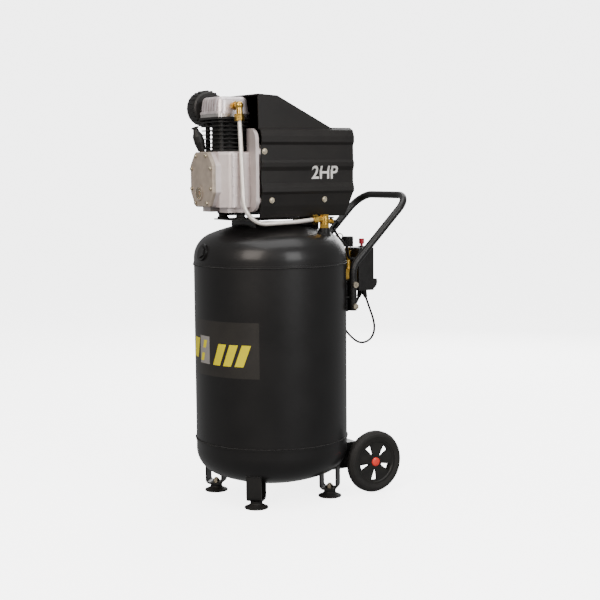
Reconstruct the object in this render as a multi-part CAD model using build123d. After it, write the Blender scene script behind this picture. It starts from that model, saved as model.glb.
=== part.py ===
from build123d import *
import math
import os

# A vertical, wheeled, oil-lubricated air compressor.
#
# The machine is laid out in its own design frame, in millimetres: the tank axis is X = Y = 0,
# the floor is Z = 0, +X points back to the handle and the wheels, and -X points to the crankcase.
# The last section moves everything so that the origin is the bottom centre of the machine's box.

# ------------------------------------------------------------------ tank
TANK_RADIUS = 175.0
TANK_WALL = 2.5
SEAM_LOW = 139.7
SEAM_HIGH = 540.0
HEAD_RISE = 82.0
HEAD_KNUCKLE = 59.5
PLUG_PORT_RISE = 17.0
PLUG_PORT_RADIUS = 19.0
HEAD_SKIRT_TOP = 14.0
HEAD_SKIRT_BOTTOM = 24.0
SEAM_LIP = 1.2
SEAM_LIP_HEIGHT = 5.0
BOSS_BORE = 6.5

# ------------------------------------------------------------------ legs and feet
LEG_CIRCLE = TANK_RADIUS - 37.5
LEG_ANGLES = (45, 135, 225, 315)
LEG_DEPTH = 42.0
LEG_WIDTH = 35.0
LEG_STRAP = 4.0
LEG_CORNER = 11.0
FOOT_HEIGHT = 17.5
FOOT_RADIUS = 27.0
FOOT_NECK = 13.5
FOOT_POCKET = 9.0
FOOT_POCKET_RADIUS = 9.0
FOOT_BOLT = 4.0
BOLT_HEAD_HEIGHT = 5.3
NUT_HEIGHT = 6.5
HOLE_PLAY = 0.2

# ------------------------------------------------------------------ wheels
WHEEL_RADIUS = 72.0
WHEEL_CLEARANCE = 2.0
WHEEL_WIDTH = 26.0
WHEEL_OUTER_FACE = 136.0
TYRE_INNER = 52.0
TYRE_SHOULDER = 7.0
RIM_BAND = 6.0
RIM_DISC = 6.0
RIM_DISC_FACE = 5.0
HUB_RADIUS = 14.0
WINDOW_INNER = 17.0
WINDOW_OUTER = 43.0
WINDOW_COUNT = 5
WINDOW_PHASE = 48.0
WINDOW_SPREAD = 11.0
CAP_RADIUS = 10.5
CAP_POCKET = 9.2
AXLE_X = TANK_RADIUS + 28.0
AXLE_RADIUS = 6.0
RUNNING_FIT = 0.06
RUNNING_GAP = 0.5
CHEEK_FACE = 88.0
CHEEK_PLATE = 3.0
CHEEK_TOP = 118.0
CHEEK_LOW = 58.0
CHEEK_BEND_X = AXLE_X - 23.0
CHEEK_NOSE = 16.0

# ------------------------------------------------------------------ handle
TUBE_RADIUS = 8.5
TUBE_WALL = 1.5
ARM_Y = 103.0
ARM_X = TANK_RADIUS - 15.0
ARM_FOOT_Z = SEAM_HIGH - 111.0
ARM_BEND_Z = SEAM_HIGH - 9.0
BAR_X = ARM_X + 161.0
BAR_Z = ARM_BEND_Z + 160.0
ARM_BEND_RADIUS = 45.0
BAR_BEND_RADIUS = 46.0
LUG_PLATE = 3.0
LUG_REACH = 11.0
LUG_TOP = ARM_FOOT_Z + 69.0
HANDLE_BOLT_Z = (ARM_FOOT_Z + 10.0, ARM_FOOT_Z + 60.0)

# ------------------------------------------------------------------ pump platform
PLATFORM_Z = SEAM_HIGH + 101.0
PLATFORM_PLATE = 3.0
PLATFORM_FRONT = -112.0
PLATFORM_BACK = 137.0
PLATFORM_HALF = 60.0
RISER_X = (-70.0, 96.0)
RISER_HALF = 54.0
MOUNT_RADIUS = 13.0
MOUNT_WAIST = 10.0
MOUNT_HEIGHT = 16.0
MOUNT_X = (-98.0, 70.0)
MOUNT_Y = 42.0

# ------------------------------------------------------------------ pump
CRANK_Z = PLATFORM_Z + 94.0
CASE_FRONT = -165.0
CASE_FLANGE = -92.0
CASE_BACK = -84.0
CASE_HALF = 55.0
CASE_TOP = CRANK_Z + 59.0
CASE_BOTTOM = CRANK_Z - 63.0
CASE_CAVITY = 50.0
SHOULDER_FRONT = -141.0
SHOULDER_HALF = 76.5
SHOULDER_WALL = 6.0
SHOULDER_ROOM = 40.0
RIB_RISES = (-37.0, -16.0, 6.0, 25.0, 45.0)
RIB_THICK = 2.6
RIB_PROUD = 2.4
FLANGE_HALF = 104.0
FLANGE_TOP = CRANK_Z + 109.0
FLANGE_BOTTOM = CRANK_Z - 74.0
FLANGE_CORNER = 26.0
FLANGE_NOTCH = 64.0
COVER_THICK = 8.0
SIGHT_Y = 10.0
SIGHT_Z = CRANK_Z - 32.0
SIGHT_RADIUS = 17.0
BORE_X = -112.0
BORE_RADIUS = 23.5
BARREL_WALL = 5.5
BARREL_TOP = CASE_TOP + 76.0
FIN_COUNT = 7
FIN_THICK = 2.4
FIN_FOOT = (33.0, 39.0)
FIN_HEAD = (42.0, 49.0)
VALVE_PLATE_TOP = BARREL_TOP + 7.0
HEAD_TOP = VALVE_PLATE_TOP + 38.0
HEAD_HALF = (43.0, 50.0)
HEAD_CROWN = (38.0, 45.0)
HEAD_CORNER = 18.0
HEAD_ROUND = 11.0
HEAD_SLOTS = 7
HEAD_SLOT_PITCH = 12.0
HEAD_SLOT = 5.0
HEAD_SLOT_FLOOR = 34.2
HEAD_LIP = 5.0
HEAD_BOLT = (26.0, 33.0)
HEAD_BOLT_SEAT = HEAD_TOP - 7.0
HEAD_BOLT_POCKET = 7.2
STROKE = 38.0
ROD_LENGTH = 96.0
PISTON_HEIGHT = 30.0
PISTON_PLAY = 0.1
CRANK_PIN = 8.0
WRIST_PIN = 6.0
ROD_THICK = 10.0
WEB_THICK = 8.0

# ------------------------------------------------------------------ motor
SHAFT_RADIUS = 8.5
BEARING_RADIUS = 20.0
BEARING_WIDTH = 12.0
MOTOR_RADIUS = 75.0
MOTOR_WALL = 3.0
MOTOR_START = -66.0
MOTOR_END = 60.0
BELL_END = 76.0
STATOR_INNER = 42.0
ROTOR_RADIUS = 41.4
STATOR_FRONT = -45.0
STATOR_BACK = 25.0
FAN_FRONT = 92.0
FAN_BACK = 120.0
FAN_RADIUS = 70.0
FAN_HUB = 18.0
FAN_BLADES = 9
SHAFT_END = 126.0

# ------------------------------------------------------------------ shroud and hood
SHROUD_FRONT = -80.0
SHROUD_BACK = 160.0
SHROUD_WALL = 2.5
SHROUD_PROFILE = tuple((half, CRANK_Z + rise) for half, rise in (
    (96.0, -87.0), (103.0, -61.0), (107.0, -36.0), (111.0, -30.0), (110.5, -21.0),
    (106.5, -11.0), (106.5, 16.0), (110.5, 25.0), (111.0, 34.0), (107.5, 40.0),
    (107.0, 73.0), (111.5, 79.0), (111.5, 92.0), (106.0, 106.0), (94.0, 112.0)))
HOOD_HALF = 100.0
HOOD_FRONT = -82.0
HOOD_TOP = CRANK_Z + 184.0
HOOD_FLAT_END = (-34.0, HOOD_TOP - 3.0)
HOOD_TAIL = (108.0, CRANK_Z + 110.0)
GRILLE_SLOTS = 9
GRILLE_SLOT = 6.0
GRILLE_HALF = 84.0
GRILLE_BOTTOM = CRANK_Z - 23.0
GRILLE_TOP = CRANK_Z + 73.0
SHROUD_SCREWS = ((-71.6, CRANK_Z + 58.7), (-53.9, CRANK_Z - 48.5), (82.8, CRANK_Z - 48.5))
SCREW_HEAD = 6.5
LUG_HALF = 6.0
SCREW_SHANK = 2.2

# ------------------------------------------------------------------ air line
PIPE_RADIUS = 4.75
PIPE_WALL = 1.2
PIPE_X = -117.0
PIPE_TOP_Y = -78.0
ELBOW_Z = VALVE_PLATE_TOP + 17.0
CHECK_X = 80.0
CHECK_Y = -109.0
BOSS_TOP = SEAM_HIGH + 82.0
CHECK_Z = BOSS_TOP + 19.5
CHECK_TOP = BOSS_TOP + 30.0
PIPE_BEND = (-117.0, -96.0, PLATFORM_Z - 8.5)
PIPE_RISE = (8.0, -108.0, PLATFORM_Z - 3.5)
PIPE_BEND_RADIUS = 52.0
PIPE_RISE_RADIUS = 150.0
FILTER_X = -120.0
FILTER_Z = VALVE_PLATE_TOP + 16.0
FILTER_RADIUS = 40.0
FILTER_NEAR = 58.0
FILTER_FAR = 100.0
UNLOADER_RADIUS = 3.0
UNLOADER_DROP = 5.0

# ------------------------------------------------------------------ pressure switch and outlet
OUTLET_Z = SEAM_HIGH - 35.0
BLOCK_X = (TANK_RADIUS + 15.0, TANK_RADIUS + 47.0)
BLOCK_HALF = 13.0
SWITCH_X = (BLOCK_X[1] + 2.5, BLOCK_X[1] + 47.5)
SWITCH_HALF = 30.0
SWITCH_BOTTOM = OUTLET_Z - 40.0
SWITCH_SPLIT = OUTLET_Z - 13.0
SWITCH_TOP = OUTLET_Z + 62.0
SWITCH_WALL = 2.0
LOBE_X = SWITCH_X[0] + 35.5
LOBE_Z = OUTLET_Z - 20.0
LOBE_RADIUS = 18.0
KNOB_X = SWITCH_X[0] + 28.5
KNOB_RADIUS = 6.5
KNOB_STEM = 3.5
KNOB_BASE = OUTLET_Z + 70.0
KNOB_TOP = KNOB_BASE + 13.0
REGULATOR_X = BLOCK_X[0] + 22.5
REGULATOR_RADIUS = 10.0
REGULATOR_KNOB = 14.0
REGULATOR_KNOB_Z = (OUTLET_Z + 65.0, OUTLET_Z + 89.0)
SAFETY_AT = (BLOCK_X[0] + 16.0, 25.0)
SAFETY_RADIUS = 6.5
SAFETY_STEM = 1.8
SAFETY_TOP = OUTLET_Z + 65.0
RING_RADIUS = 11.0
RING_WIRE = 1.3
RING_Z = SAFETY_TOP + 19.0
GAUGE_Y = 54.0
GAUGE_Z = OUTLET_Z + 43.0
GAUGE_RADIUS = 20.0
GAUGE_X = (BLOCK_X[0] + 12.0, BLOCK_X[0] + 30.0)
ARM_OUT_Y = 80.0
COUPLER_RADIUS = 11.0
COUPLER_END = 112.0
COUPLER_BORE = 5.2
COUPLER_DEPTH = 20.0
DRAIN_AT = (18.0, 103.0)
DRAIN_TOP = 44.0
DRAIN_KNOB_Z = (16.0, 30.0)

# ------------------------------------------------------------------ cords
CORD_RADIUS = 3.25
LEAD_RADIUS = 2.6
GLAND_LENGTH = 20.0
GLAND_TILT = 21.0
GLAND_ROOT = 6.6
GLAND_Y = (-10.0, 8.0)
GLAND_X = (SWITCH_X[0] + 26.5, SWITCH_X[0] + 31.5)
COIL_CENTRE = (112.0, 197.0)
COIL_RADIUS = 36.0
COIL_HALF_BUILD = 10.0
COIL_HEIGHT = 14.0
PLUG_LENGTH = 42.0
PLUG_RADIUS = 16.0
PLUG_SEAT = 122.0
PLUG_HEADING = 160.0
PIN_LENGTH = 19.0

LEAD_ROUTE = ((258.2, -10, 446.3), (268, -10, 421), (281, -9, 392), (286, -7, 364), (275, -4, 341),
              (248, -2, 334), (224, 2, 350), (204, 9, 378), (192, 22, 410), (185, 38, 442),
              (178, 56, 474), (172, 70, 512), (164, 80, 554), (148, 88, 596), (124, 92, 630),
              (98, 89, 654), (84, 84, 680))
MAINS_ROUTE = ((248.8, 8, 446.3), (241, 10, 426), (223, 20, 413), (199, 42, 408), (179, 70, 399),
               (161, 99, 380), (146, 124, 348), (136, 143, 306), (128, 158, 258), (124, 168, 206),
               (124, 180, 154), (129, 198, 108), (136, 218, 68), (137, 234, 36), (124, 241, 14),
               (104, 240, 4.4))


# ------------------------------------------------------------------ small helpers
def cyl_x(radius, x0, x1, y, z):
    """A round bar along X from x0 to x1."""
    return Pos(x0, y, z) * Rot(0, 90, 0) * Cylinder(radius, x1 - x0, align=BOTTOM)


def cyl_y(radius, y0, y1, x, z):
    """A round bar along Y from y0 to y1."""
    return Pos(x, y0, z) * Rot(-90, 0, 0) * Cylinder(radius, y1 - y0, align=BOTTOM)


def cyl_z(radius, z0, z1, x=0.0, y=0.0):
    """A round bar along Z from z0 to z1."""
    return Pos(x, y, z0) * Cylinder(radius, z1 - z0, align=BOTTOM)


def block(x0, x1, y0, y1, z0, z1):
    """A box given by its limits."""
    return Pos(x0, y0, z0) * Box(x1 - x0, y1 - y0, z1 - z0, align=(Align.MIN,) * 3)


def hexagon(flats, length, at, direction):
    """A hexagonal bar, flats across, starting at a point and running along a direction."""
    face = Plane(origin=at, z_dir=direction) * RegularPolygon(flats / math.sqrt(3), 6)
    return extrude(face, amount=length, dir=Vector(*direction).normalized())


def turned(points):
    """A body of revolution about Z from (radius, height) points."""
    outline = make_face(Plane.XZ * Polyline(*points, close=True))
    return revolve(outline, Axis.Z, 360)


def mirrored_y(solid):
    """The same solid on the other side of the machine."""
    return mirror(solid, about=Plane.XZ)


def pipe(points, radii, radius, wall=0.0):
    """A round tube through the points, with an arc at each inner point."""
    path = FilletPolyline(*points, radius=list(radii))
    section = Plane(origin=path @ 0, z_dir=path % 0) * Circle(radius)
    if wall:
        section -= Plane(origin=path @ 0, z_dir=path % 0) * Circle(radius - wall)
    return sweep(section, path=path), path


def arc_radii(points):
    """The largest arcs that the runs beside each inner point allow."""
    radii = []
    for before, here, after in zip(points, points[1:], points[2:]):
        a = Vector(*here) - Vector(*before)
        b = Vector(*after) - Vector(*here)
        turn = math.radians(a.get_angle(b))
        radii.append(0.45 * min(a.length, b.length) / math.tan(turn / 2))
    return radii


BOTTOM = (Align.CENTER, Align.CENTER, Align.MIN)


# ------------------------------------------------------------------ tank
def dish_radius():
    """Radius of a head's crown, which meets its knuckle without an edge."""
    reach = TANK_RADIUS - HEAD_KNUCKLE
    return (reach ** 2 + HEAD_RISE ** 2 - HEAD_KNUCKLE ** 2) / (2 * (HEAD_RISE - HEAD_KNUCKLE))


def head_solid(inset, skirt):
    """A filled pressed head, inset from the outside: skirt, knuckle and crown, standing on Z = 0."""
    dish = dish_radius()
    meet = math.degrees(math.asin((TANK_RADIUS - HEAD_KNUCKLE) / (dish - HEAD_KNUCKLE)))
    knuckle = CenterArc((TANK_RADIUS - HEAD_KNUCKLE, skirt), HEAD_KNUCKLE - inset, 0, 90 - meet)
    crown = CenterArc((0, skirt + HEAD_RISE - dish), dish - inset, 90 - meet, meet)
    radius = TANK_RADIUS - inset
    outline = Polyline((0, skirt + HEAD_RISE - inset), (0, 0), (radius, 0), (radius, skirt))
    return revolve(make_face(Plane.XZ * (knuckle + crown + outline)), Axis.Z, 360)


def head_outer(top):
    """The filled outside of one pressed head in its place."""
    if top:
        return Pos(0, 0, SEAM_HIGH) * head_solid(0, HEAD_SKIRT_TOP)
    return Pos(0, 0, SEAM_LOW) * Rot(180, 0, 0) * head_solid(0, HEAD_SKIRT_BOTTOM)


def head_inner(top):
    """The filled inside of one pressed head in its place."""
    if top:
        return Pos(0, 0, SEAM_HIGH) * head_solid(TANK_WALL, HEAD_SKIRT_TOP)
    return Pos(0, 0, SEAM_LOW) * Rot(180, 0, 0) * head_solid(TANK_WALL, HEAD_SKIRT_BOTTOM)


def tank_filled():
    """The whole tank as one filled solid, for trimming what is welded to it."""
    drum = cyl_z(TANK_RADIUS, SEAM_LOW - 1, SEAM_HIGH + 1)
    return drum + head_outer(True) + head_outer(False)


def make_tank_shell():
    drum = cyl_z(TANK_RADIUS, SEAM_LOW, SEAM_HIGH)
    boss = cyl_x(15.0, TANK_RADIUS - 8, TANK_RADIUS + 8, 0, OUTLET_Z)
    hollow = cyl_z(TANK_RADIUS - TANK_WALL, SEAM_LOW, SEAM_HIGH)
    return drum + boss - hollow - cyl_x(BOSS_BORE, TANK_RADIUS - 20, TANK_RADIUS + 20, 0, OUTLET_Z)


def make_top_dome():
    lip = cyl_z(TANK_RADIUS + SEAM_LIP, SEAM_HIGH, SEAM_HIGH + SEAM_LIP_HEIGHT)
    boss = cyl_z(13.0, BOSS_TOP - 40, BOSS_TOP, CHECK_X, CHECK_Y)
    out = math.sqrt(HEAD_KNUCKLE ** 2 - PLUG_PORT_RISE ** 2)
    normal = Vector(-out, 0, PLUG_PORT_RISE).normalized()
    middle = Vector(HEAD_KNUCKLE - TANK_RADIUS, 0, SEAM_HIGH + HEAD_SKIRT_TOP)
    seat = Plane(origin=middle + normal * HEAD_KNUCKLE, z_dir=normal)
    port = seat * Pos(0, 0, -9) * Cylinder(PLUG_PORT_RADIUS, 12.0, align=BOTTOM)
    cap = hexagon(24.0, 6.0, seat.origin, normal)
    hollow = head_inner(True)
    solid = head_outer(True) - hollow
    for fitting in (lip - hollow, boss - hollow, port - hollow, cap):
        solid += fitting
    return solid - cyl_z(BOSS_BORE, BOSS_TOP - 60, BOSS_TOP + 5, CHECK_X, CHECK_Y)


def make_bottom_dome():
    lip = cyl_z(TANK_RADIUS + SEAM_LIP, SEAM_LOW - SEAM_LIP_HEIGHT, SEAM_LOW)
    boss = cyl_z(12.0, DRAIN_TOP, DRAIN_TOP + 22, *DRAIN_AT)
    hollow = head_inner(False)
    solid = head_outer(False) - hollow + (lip - hollow) + (boss - hollow)
    return solid - cyl_z(5.0, DRAIN_TOP - 5, DRAIN_TOP + 40, *DRAIN_AT)


# ------------------------------------------------------------------ legs and feet
def make_leg_straps():
    height = 100.0
    outside = Pos(0, 0, FOOT_HEIGHT + height / 2) * Box(LEG_DEPTH, LEG_WIDTH, height)
    corners = outside.edges().filter_by(Axis.Y).group_by(Axis.Z)[0]
    outside = fillet(corners, LEG_CORNER)
    inside = Pos(0, 0, FOOT_HEIGHT + LEG_STRAP + height / 2)
    inside = inside * Box(LEG_DEPTH - 2 * LEG_STRAP, LEG_WIDTH + 2, height)
    low = inside.edges().filter_by(Axis.Y).group_by(Axis.Z)[0]
    inside = fillet(low, LEG_CORNER - LEG_STRAP)
    strap = outside - inside - cyl_z(FOOT_BOLT + HOLE_PLAY, FOOT_HEIGHT - 5, FOOT_HEIGHT + 20)
    tank = tank_filled()
    return [Rot(0, 0, a) * Pos(LEG_CIRCLE, 0, 0) * strap - tank for a in LEG_ANGLES]


def make_rubber_feet():
    top = FOOT_HEIGHT
    outline = ((FOOT_BOLT + HOLE_PLAY, FOOT_POCKET), (FOOT_POCKET_RADIUS, FOOT_POCKET),
               (FOOT_POCKET_RADIUS, 0), (FOOT_RADIUS - 1, 0), (FOOT_RADIUS, 1.2),
               (FOOT_RADIUS - 0.5, 3.4), (FOOT_NECK + 6.5, 6.0), (FOOT_NECK + 1.0, 9.5),
               (FOOT_NECK, 12.5), (FOOT_NECK + 0.8, top), (FOOT_BOLT + HOLE_PLAY, top))
    foot = turned(outline)
    return [Rot(0, 0, a) * Pos(LEG_CIRCLE, 0, 0) * foot for a in LEG_ANGLES]


def bolt(at, direction, grip, shank, head_flats=13.0):
    """A hexagon bolt with its nut: the head's underside is at the point, the shank runs on."""
    d = Vector(*direction)
    start = Vector(*at)
    head = hexagon(head_flats, BOLT_HEAD_HEIGHT, tuple(start - d * BOLT_HEAD_HEIGHT), direction)
    stem = Plane(origin=at, z_dir=direction) * Cylinder(shank, grip + NUT_HEIGHT + 3, align=BOTTOM)
    nut = hexagon(head_flats, NUT_HEIGHT, tuple(start + d * grip), direction)
    return head + stem + nut


def make_frame_bolts():
    grip = FOOT_HEIGHT - FOOT_POCKET + LEG_STRAP
    foot = bolt((LEG_CIRCLE, 0, FOOT_POCKET), (0, 0, 1), grip, FOOT_BOLT)
    solids = [Rot(0, 0, a) * foot for a in LEG_ANGLES]
    grip = 2 * TUBE_RADIUS + LUG_PLATE + 0.3
    for z in HANDLE_BOLT_Z:
        near = bolt((ARM_X, -ARM_Y - TUBE_RADIUS, z), (0, 1, 0), grip, FOOT_BOLT)
        solids += [near, mirrored_y(near)]
    return solids


# ------------------------------------------------------------------ wheels
def axle_z():
    return WHEEL_RADIUS + WHEEL_CLEARANCE


def make_wheel_bracket():
    z = axle_z()
    nose = AXLE_X + CHEEK_NOSE
    outline = ((85, CHEEK_TOP), (CHEEK_BEND_X, CHEEK_TOP), (nose - 2, z + 10), (nose, z),
               (nose - 4, z - 12), (AXLE_X, z - CHEEK_NOSE), (85, CHEEK_LOW))
    side = make_face(Plane.XZ * Polyline(*outline, close=True))
    near = extrude(side, amount=CHEEK_PLATE, dir=(0, 1, 0))
    near = Pos(0, -CHEEK_FACE, 0) * near
    web_top = block(120, CHEEK_BEND_X - 2, -CHEEK_FACE + 1, CHEEK_FACE - 1,
                    CHEEK_TOP - CHEEK_PLATE, CHEEK_TOP)
    web_low = block(150, 190, -CHEEK_FACE + 1, CHEEK_FACE - 1, CHEEK_LOW, CHEEK_LOW + CHEEK_PLATE)
    solid = near + mirrored_y(near) + web_top + web_low - tank_filled()
    return solid - cyl_y(AXLE_RADIUS + 0.05, -CHEEK_FACE - 5, CHEEK_FACE + 5, AXLE_X, z)


def make_wheel_axle():
    z = axle_z()
    inner = WHEEL_OUTER_FACE - WHEEL_WIDTH
    end = WHEEL_OUTER_FACE - RIM_DISC_FACE - 3.0
    solid = cyl_y(AXLE_RADIUS, -end, end, AXLE_X, z)
    for sign in (-1, 1):
        collar = cyl_y(10.0, inner - 4.5, inner - RUNNING_GAP, AXLE_X, z)
        clip = cyl_y(CAP_POCKET - 1.2, end - 3.0, end - 1.0, AXLE_X, z)
        pair = collar + clip
        solid += pair if sign > 0 else mirrored_y(pair)
    return solid


def window(phase):
    """One wedge-shaped window of the wheel disc, wider towards the tyre."""
    tight = 0.55 * WINDOW_SPREAD
    points = []
    for radius, angle in ((WINDOW_INNER, -tight), (WINDOW_OUTER, -WINDOW_SPREAD),
                          (WINDOW_OUTER, WINDOW_SPREAD), (WINDOW_INNER, tight)):
        a = math.radians(phase + angle)
        points.append((radius * math.cos(a), radius * math.sin(a)))
    return extrude(Polygon(*points, align=None), amount=WHEEL_WIDTH + 20)


def wheel_parts():
    """Rim, tyre and hub cap about Z, with the outer face at Z = 0 and the inner at -width."""
    face = -RIM_DISC_FACE
    bore = AXLE_RADIUS + RUNNING_FIT
    pocket = -RIM_DISC_FACE - 6.5
    inner = -WHEEL_WIDTH + 0.5
    band = TYRE_INNER - RIM_BAND
    outline = ((bore, inner), (HUB_RADIUS, inner), (HUB_RADIUS, face - RIM_DISC),
               (band, face - RIM_DISC), (band, -WHEEL_WIDTH + 3), (TYRE_INNER, -WHEEL_WIDTH + 3),
               (TYRE_INNER, -3), (band + 2, -3), (band, face), (CAP_POCKET, face),
               (CAP_POCKET, pocket), (bore, pocket))
    rim = turned(outline)
    for i in range(WINDOW_COUNT):
        phase = WINDOW_PHASE + i * 360 / WINDOW_COUNT
        rim -= Pos(0, 0, -WHEEL_WIDTH - 5) * window(phase)
    s = TYRE_SHOULDER
    tyre_outline = ((TYRE_INNER, -WHEEL_WIDTH + 2), (WHEEL_RADIUS - s - 5, -WHEEL_WIDTH),
                    (WHEEL_RADIUS - s, -WHEEL_WIDTH + 0.8), (WHEEL_RADIUS - 1.6, -WHEEL_WIDTH + s - 1),
                    (WHEEL_RADIUS, -WHEEL_WIDTH + s + 2), (WHEEL_RADIUS, -s - 2),
                    (WHEEL_RADIUS - 1.6, -s + 1), (WHEEL_RADIUS - s, -0.8),
                    (WHEEL_RADIUS - s - 5, 0), (TYRE_INNER, -2))
    tyre = turned(tyre_outline)
    skirt = CAP_POCKET - 0.02
    cap_outline = ((0, face + 5.0), (CAP_RADIUS - 3.5, face + 4.2), (CAP_RADIUS - 0.8, face + 2.4),
                   (CAP_RADIUS, face), (skirt, face), (skirt, face - 2.4), (skirt - 1.0, face - 2.4),
                   (skirt - 1.0, face + 1.0), (0, face + 1.6))
    cap = turned(cap_outline)
    return rim, tyre, cap


def place_wheel(solid, side):
    """Put a wheel piece on the axle: side -1 is the near wheel, +1 the far one."""
    turn = Rot(90, 0, 0) if side < 0 else Rot(-90, 0, 0)
    return Pos(AXLE_X, side * WHEEL_OUTER_FACE, axle_z()) * turn * solid


# ------------------------------------------------------------------ handle
def make_handle_tube():
    points = ((ARM_X, -ARM_Y, ARM_FOOT_Z), (ARM_X, -ARM_Y, ARM_BEND_Z), (BAR_X, -ARM_Y, BAR_Z),
              (BAR_X, ARM_Y, BAR_Z), (ARM_X, ARM_Y, ARM_BEND_Z), (ARM_X, ARM_Y, ARM_FOOT_Z))
    radii = (ARM_BEND_RADIUS, BAR_BEND_RADIUS, BAR_BEND_RADIUS, ARM_BEND_RADIUS)
    tube, _ = pipe(points, radii, TUBE_RADIUS, TUBE_WALL)
    for z in HANDLE_BOLT_Z:
        tube -= cyl_y(FOOT_BOLT + HOLE_PLAY, -ARM_Y - 20, ARM_Y + 20, ARM_X, z)
    return tube


def make_handle_lugs():
    inner = -ARM_Y + TUBE_RADIUS + 0.3
    plate = block(130, ARM_X + LUG_REACH, inner, inner + LUG_PLATE, ARM_FOOT_Z, LUG_TOP)
    rib = block(130, ARM_X - TUBE_RADIUS - 1, inner - 9, inner, ARM_FOOT_Z + 30, ARM_FOOT_Z + 33)
    plate = plate + rib
    for z in HANDLE_BOLT_Z:
        plate -= cyl_y(FOOT_BOLT + HOLE_PLAY, inner - 20, inner + 20, ARM_X, z)
    near = plate - tank_filled()
    return [near, mirrored_y(near)]


# ------------------------------------------------------------------ pump platform
def make_platform():
    plate = block(PLATFORM_FRONT, PLATFORM_BACK, -PLATFORM_HALF, PLATFORM_HALF,
                  PLATFORM_Z, PLATFORM_Z + PLATFORM_PLATE)
    for x in RISER_X:
        plate += block(x, x + PLATFORM_PLATE, -RISER_HALF, RISER_HALF, PLATFORM_Z - 60, PLATFORM_Z)
    return plate - tank_filled()


def make_rubber_mounts():
    z = PLATFORM_Z + PLATFORM_PLATE
    h = MOUNT_HEIGHT
    outline = ((0, 0), (MOUNT_RADIUS, 0), (MOUNT_RADIUS, 3), (MOUNT_WAIST, 6), (MOUNT_WAIST, h - 6),
               (MOUNT_RADIUS, h - 3), (MOUNT_RADIUS, h), (0, h))
    rubber = turned(outline)
    return [Pos(x, s * MOUNT_Y, z) * rubber for x in MOUNT_X for s in (-1, 1)]


# ------------------------------------------------------------------ pump
def case_outline(shrink=0.0):
    """The eight-sided section of the crankcase in the YZ plane."""
    w = CASE_HALF - shrink
    t = CASE_TOP - shrink
    b = CASE_BOTTOM + shrink
    return ((-31, t), (31, t), (w, t - 28), (w, b + 32), (34, b), (-34, b), (-w, b + 32), (-w, t - 28))


def case_prism(x0, x1, shrink=0.0, corner=9.0):
    """The crankcase section extruded along X with rounded long edges."""
    face = make_face(Plane.YZ * Polyline(*case_outline(shrink), close=True))
    solid = Pos(x0, 0, 0) * extrude(face, amount=x1 - x0, dir=(1, 0, 0))
    return fillet(solid.edges().filter_by(Axis.X), corner)


def case_screw_points():
    """Where the cover screws sit, on the YZ plane."""
    w = CASE_HALF - 9
    return ((-24, CASE_TOP - 9), (24, CASE_TOP - 9), (-w, CRANK_Z + 22), (w, CRANK_Z + 22),
            (-w, CRANK_Z - 22), (w, CRANK_Z - 22), (-28, CASE_BOTTOM + 9), (28, CASE_BOTTOM + 9))


def case_shoulder(grow=0.0):
    """The wide rear of the case: seen from above, it swells from behind the cover to the flange."""
    half = SHOULDER_HALF + grow
    nose = (SHOULDER_FRONT - 14, CASE_HALF - 4)
    back = CASE_FLANGE + 1
    plan = Polyline((back, -half), (SHOULDER_FRONT + 4, -half), (nose[0], -nose[1]),
                    nose, (SHOULDER_FRONT + 4, half), (back, half), close=True)
    face = make_face(plan)
    bends = [v for v in face.vertices() if abs(v.X - SHOULDER_FRONT - 4) < 1]
    return fillet(bends, 16.0)


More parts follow.
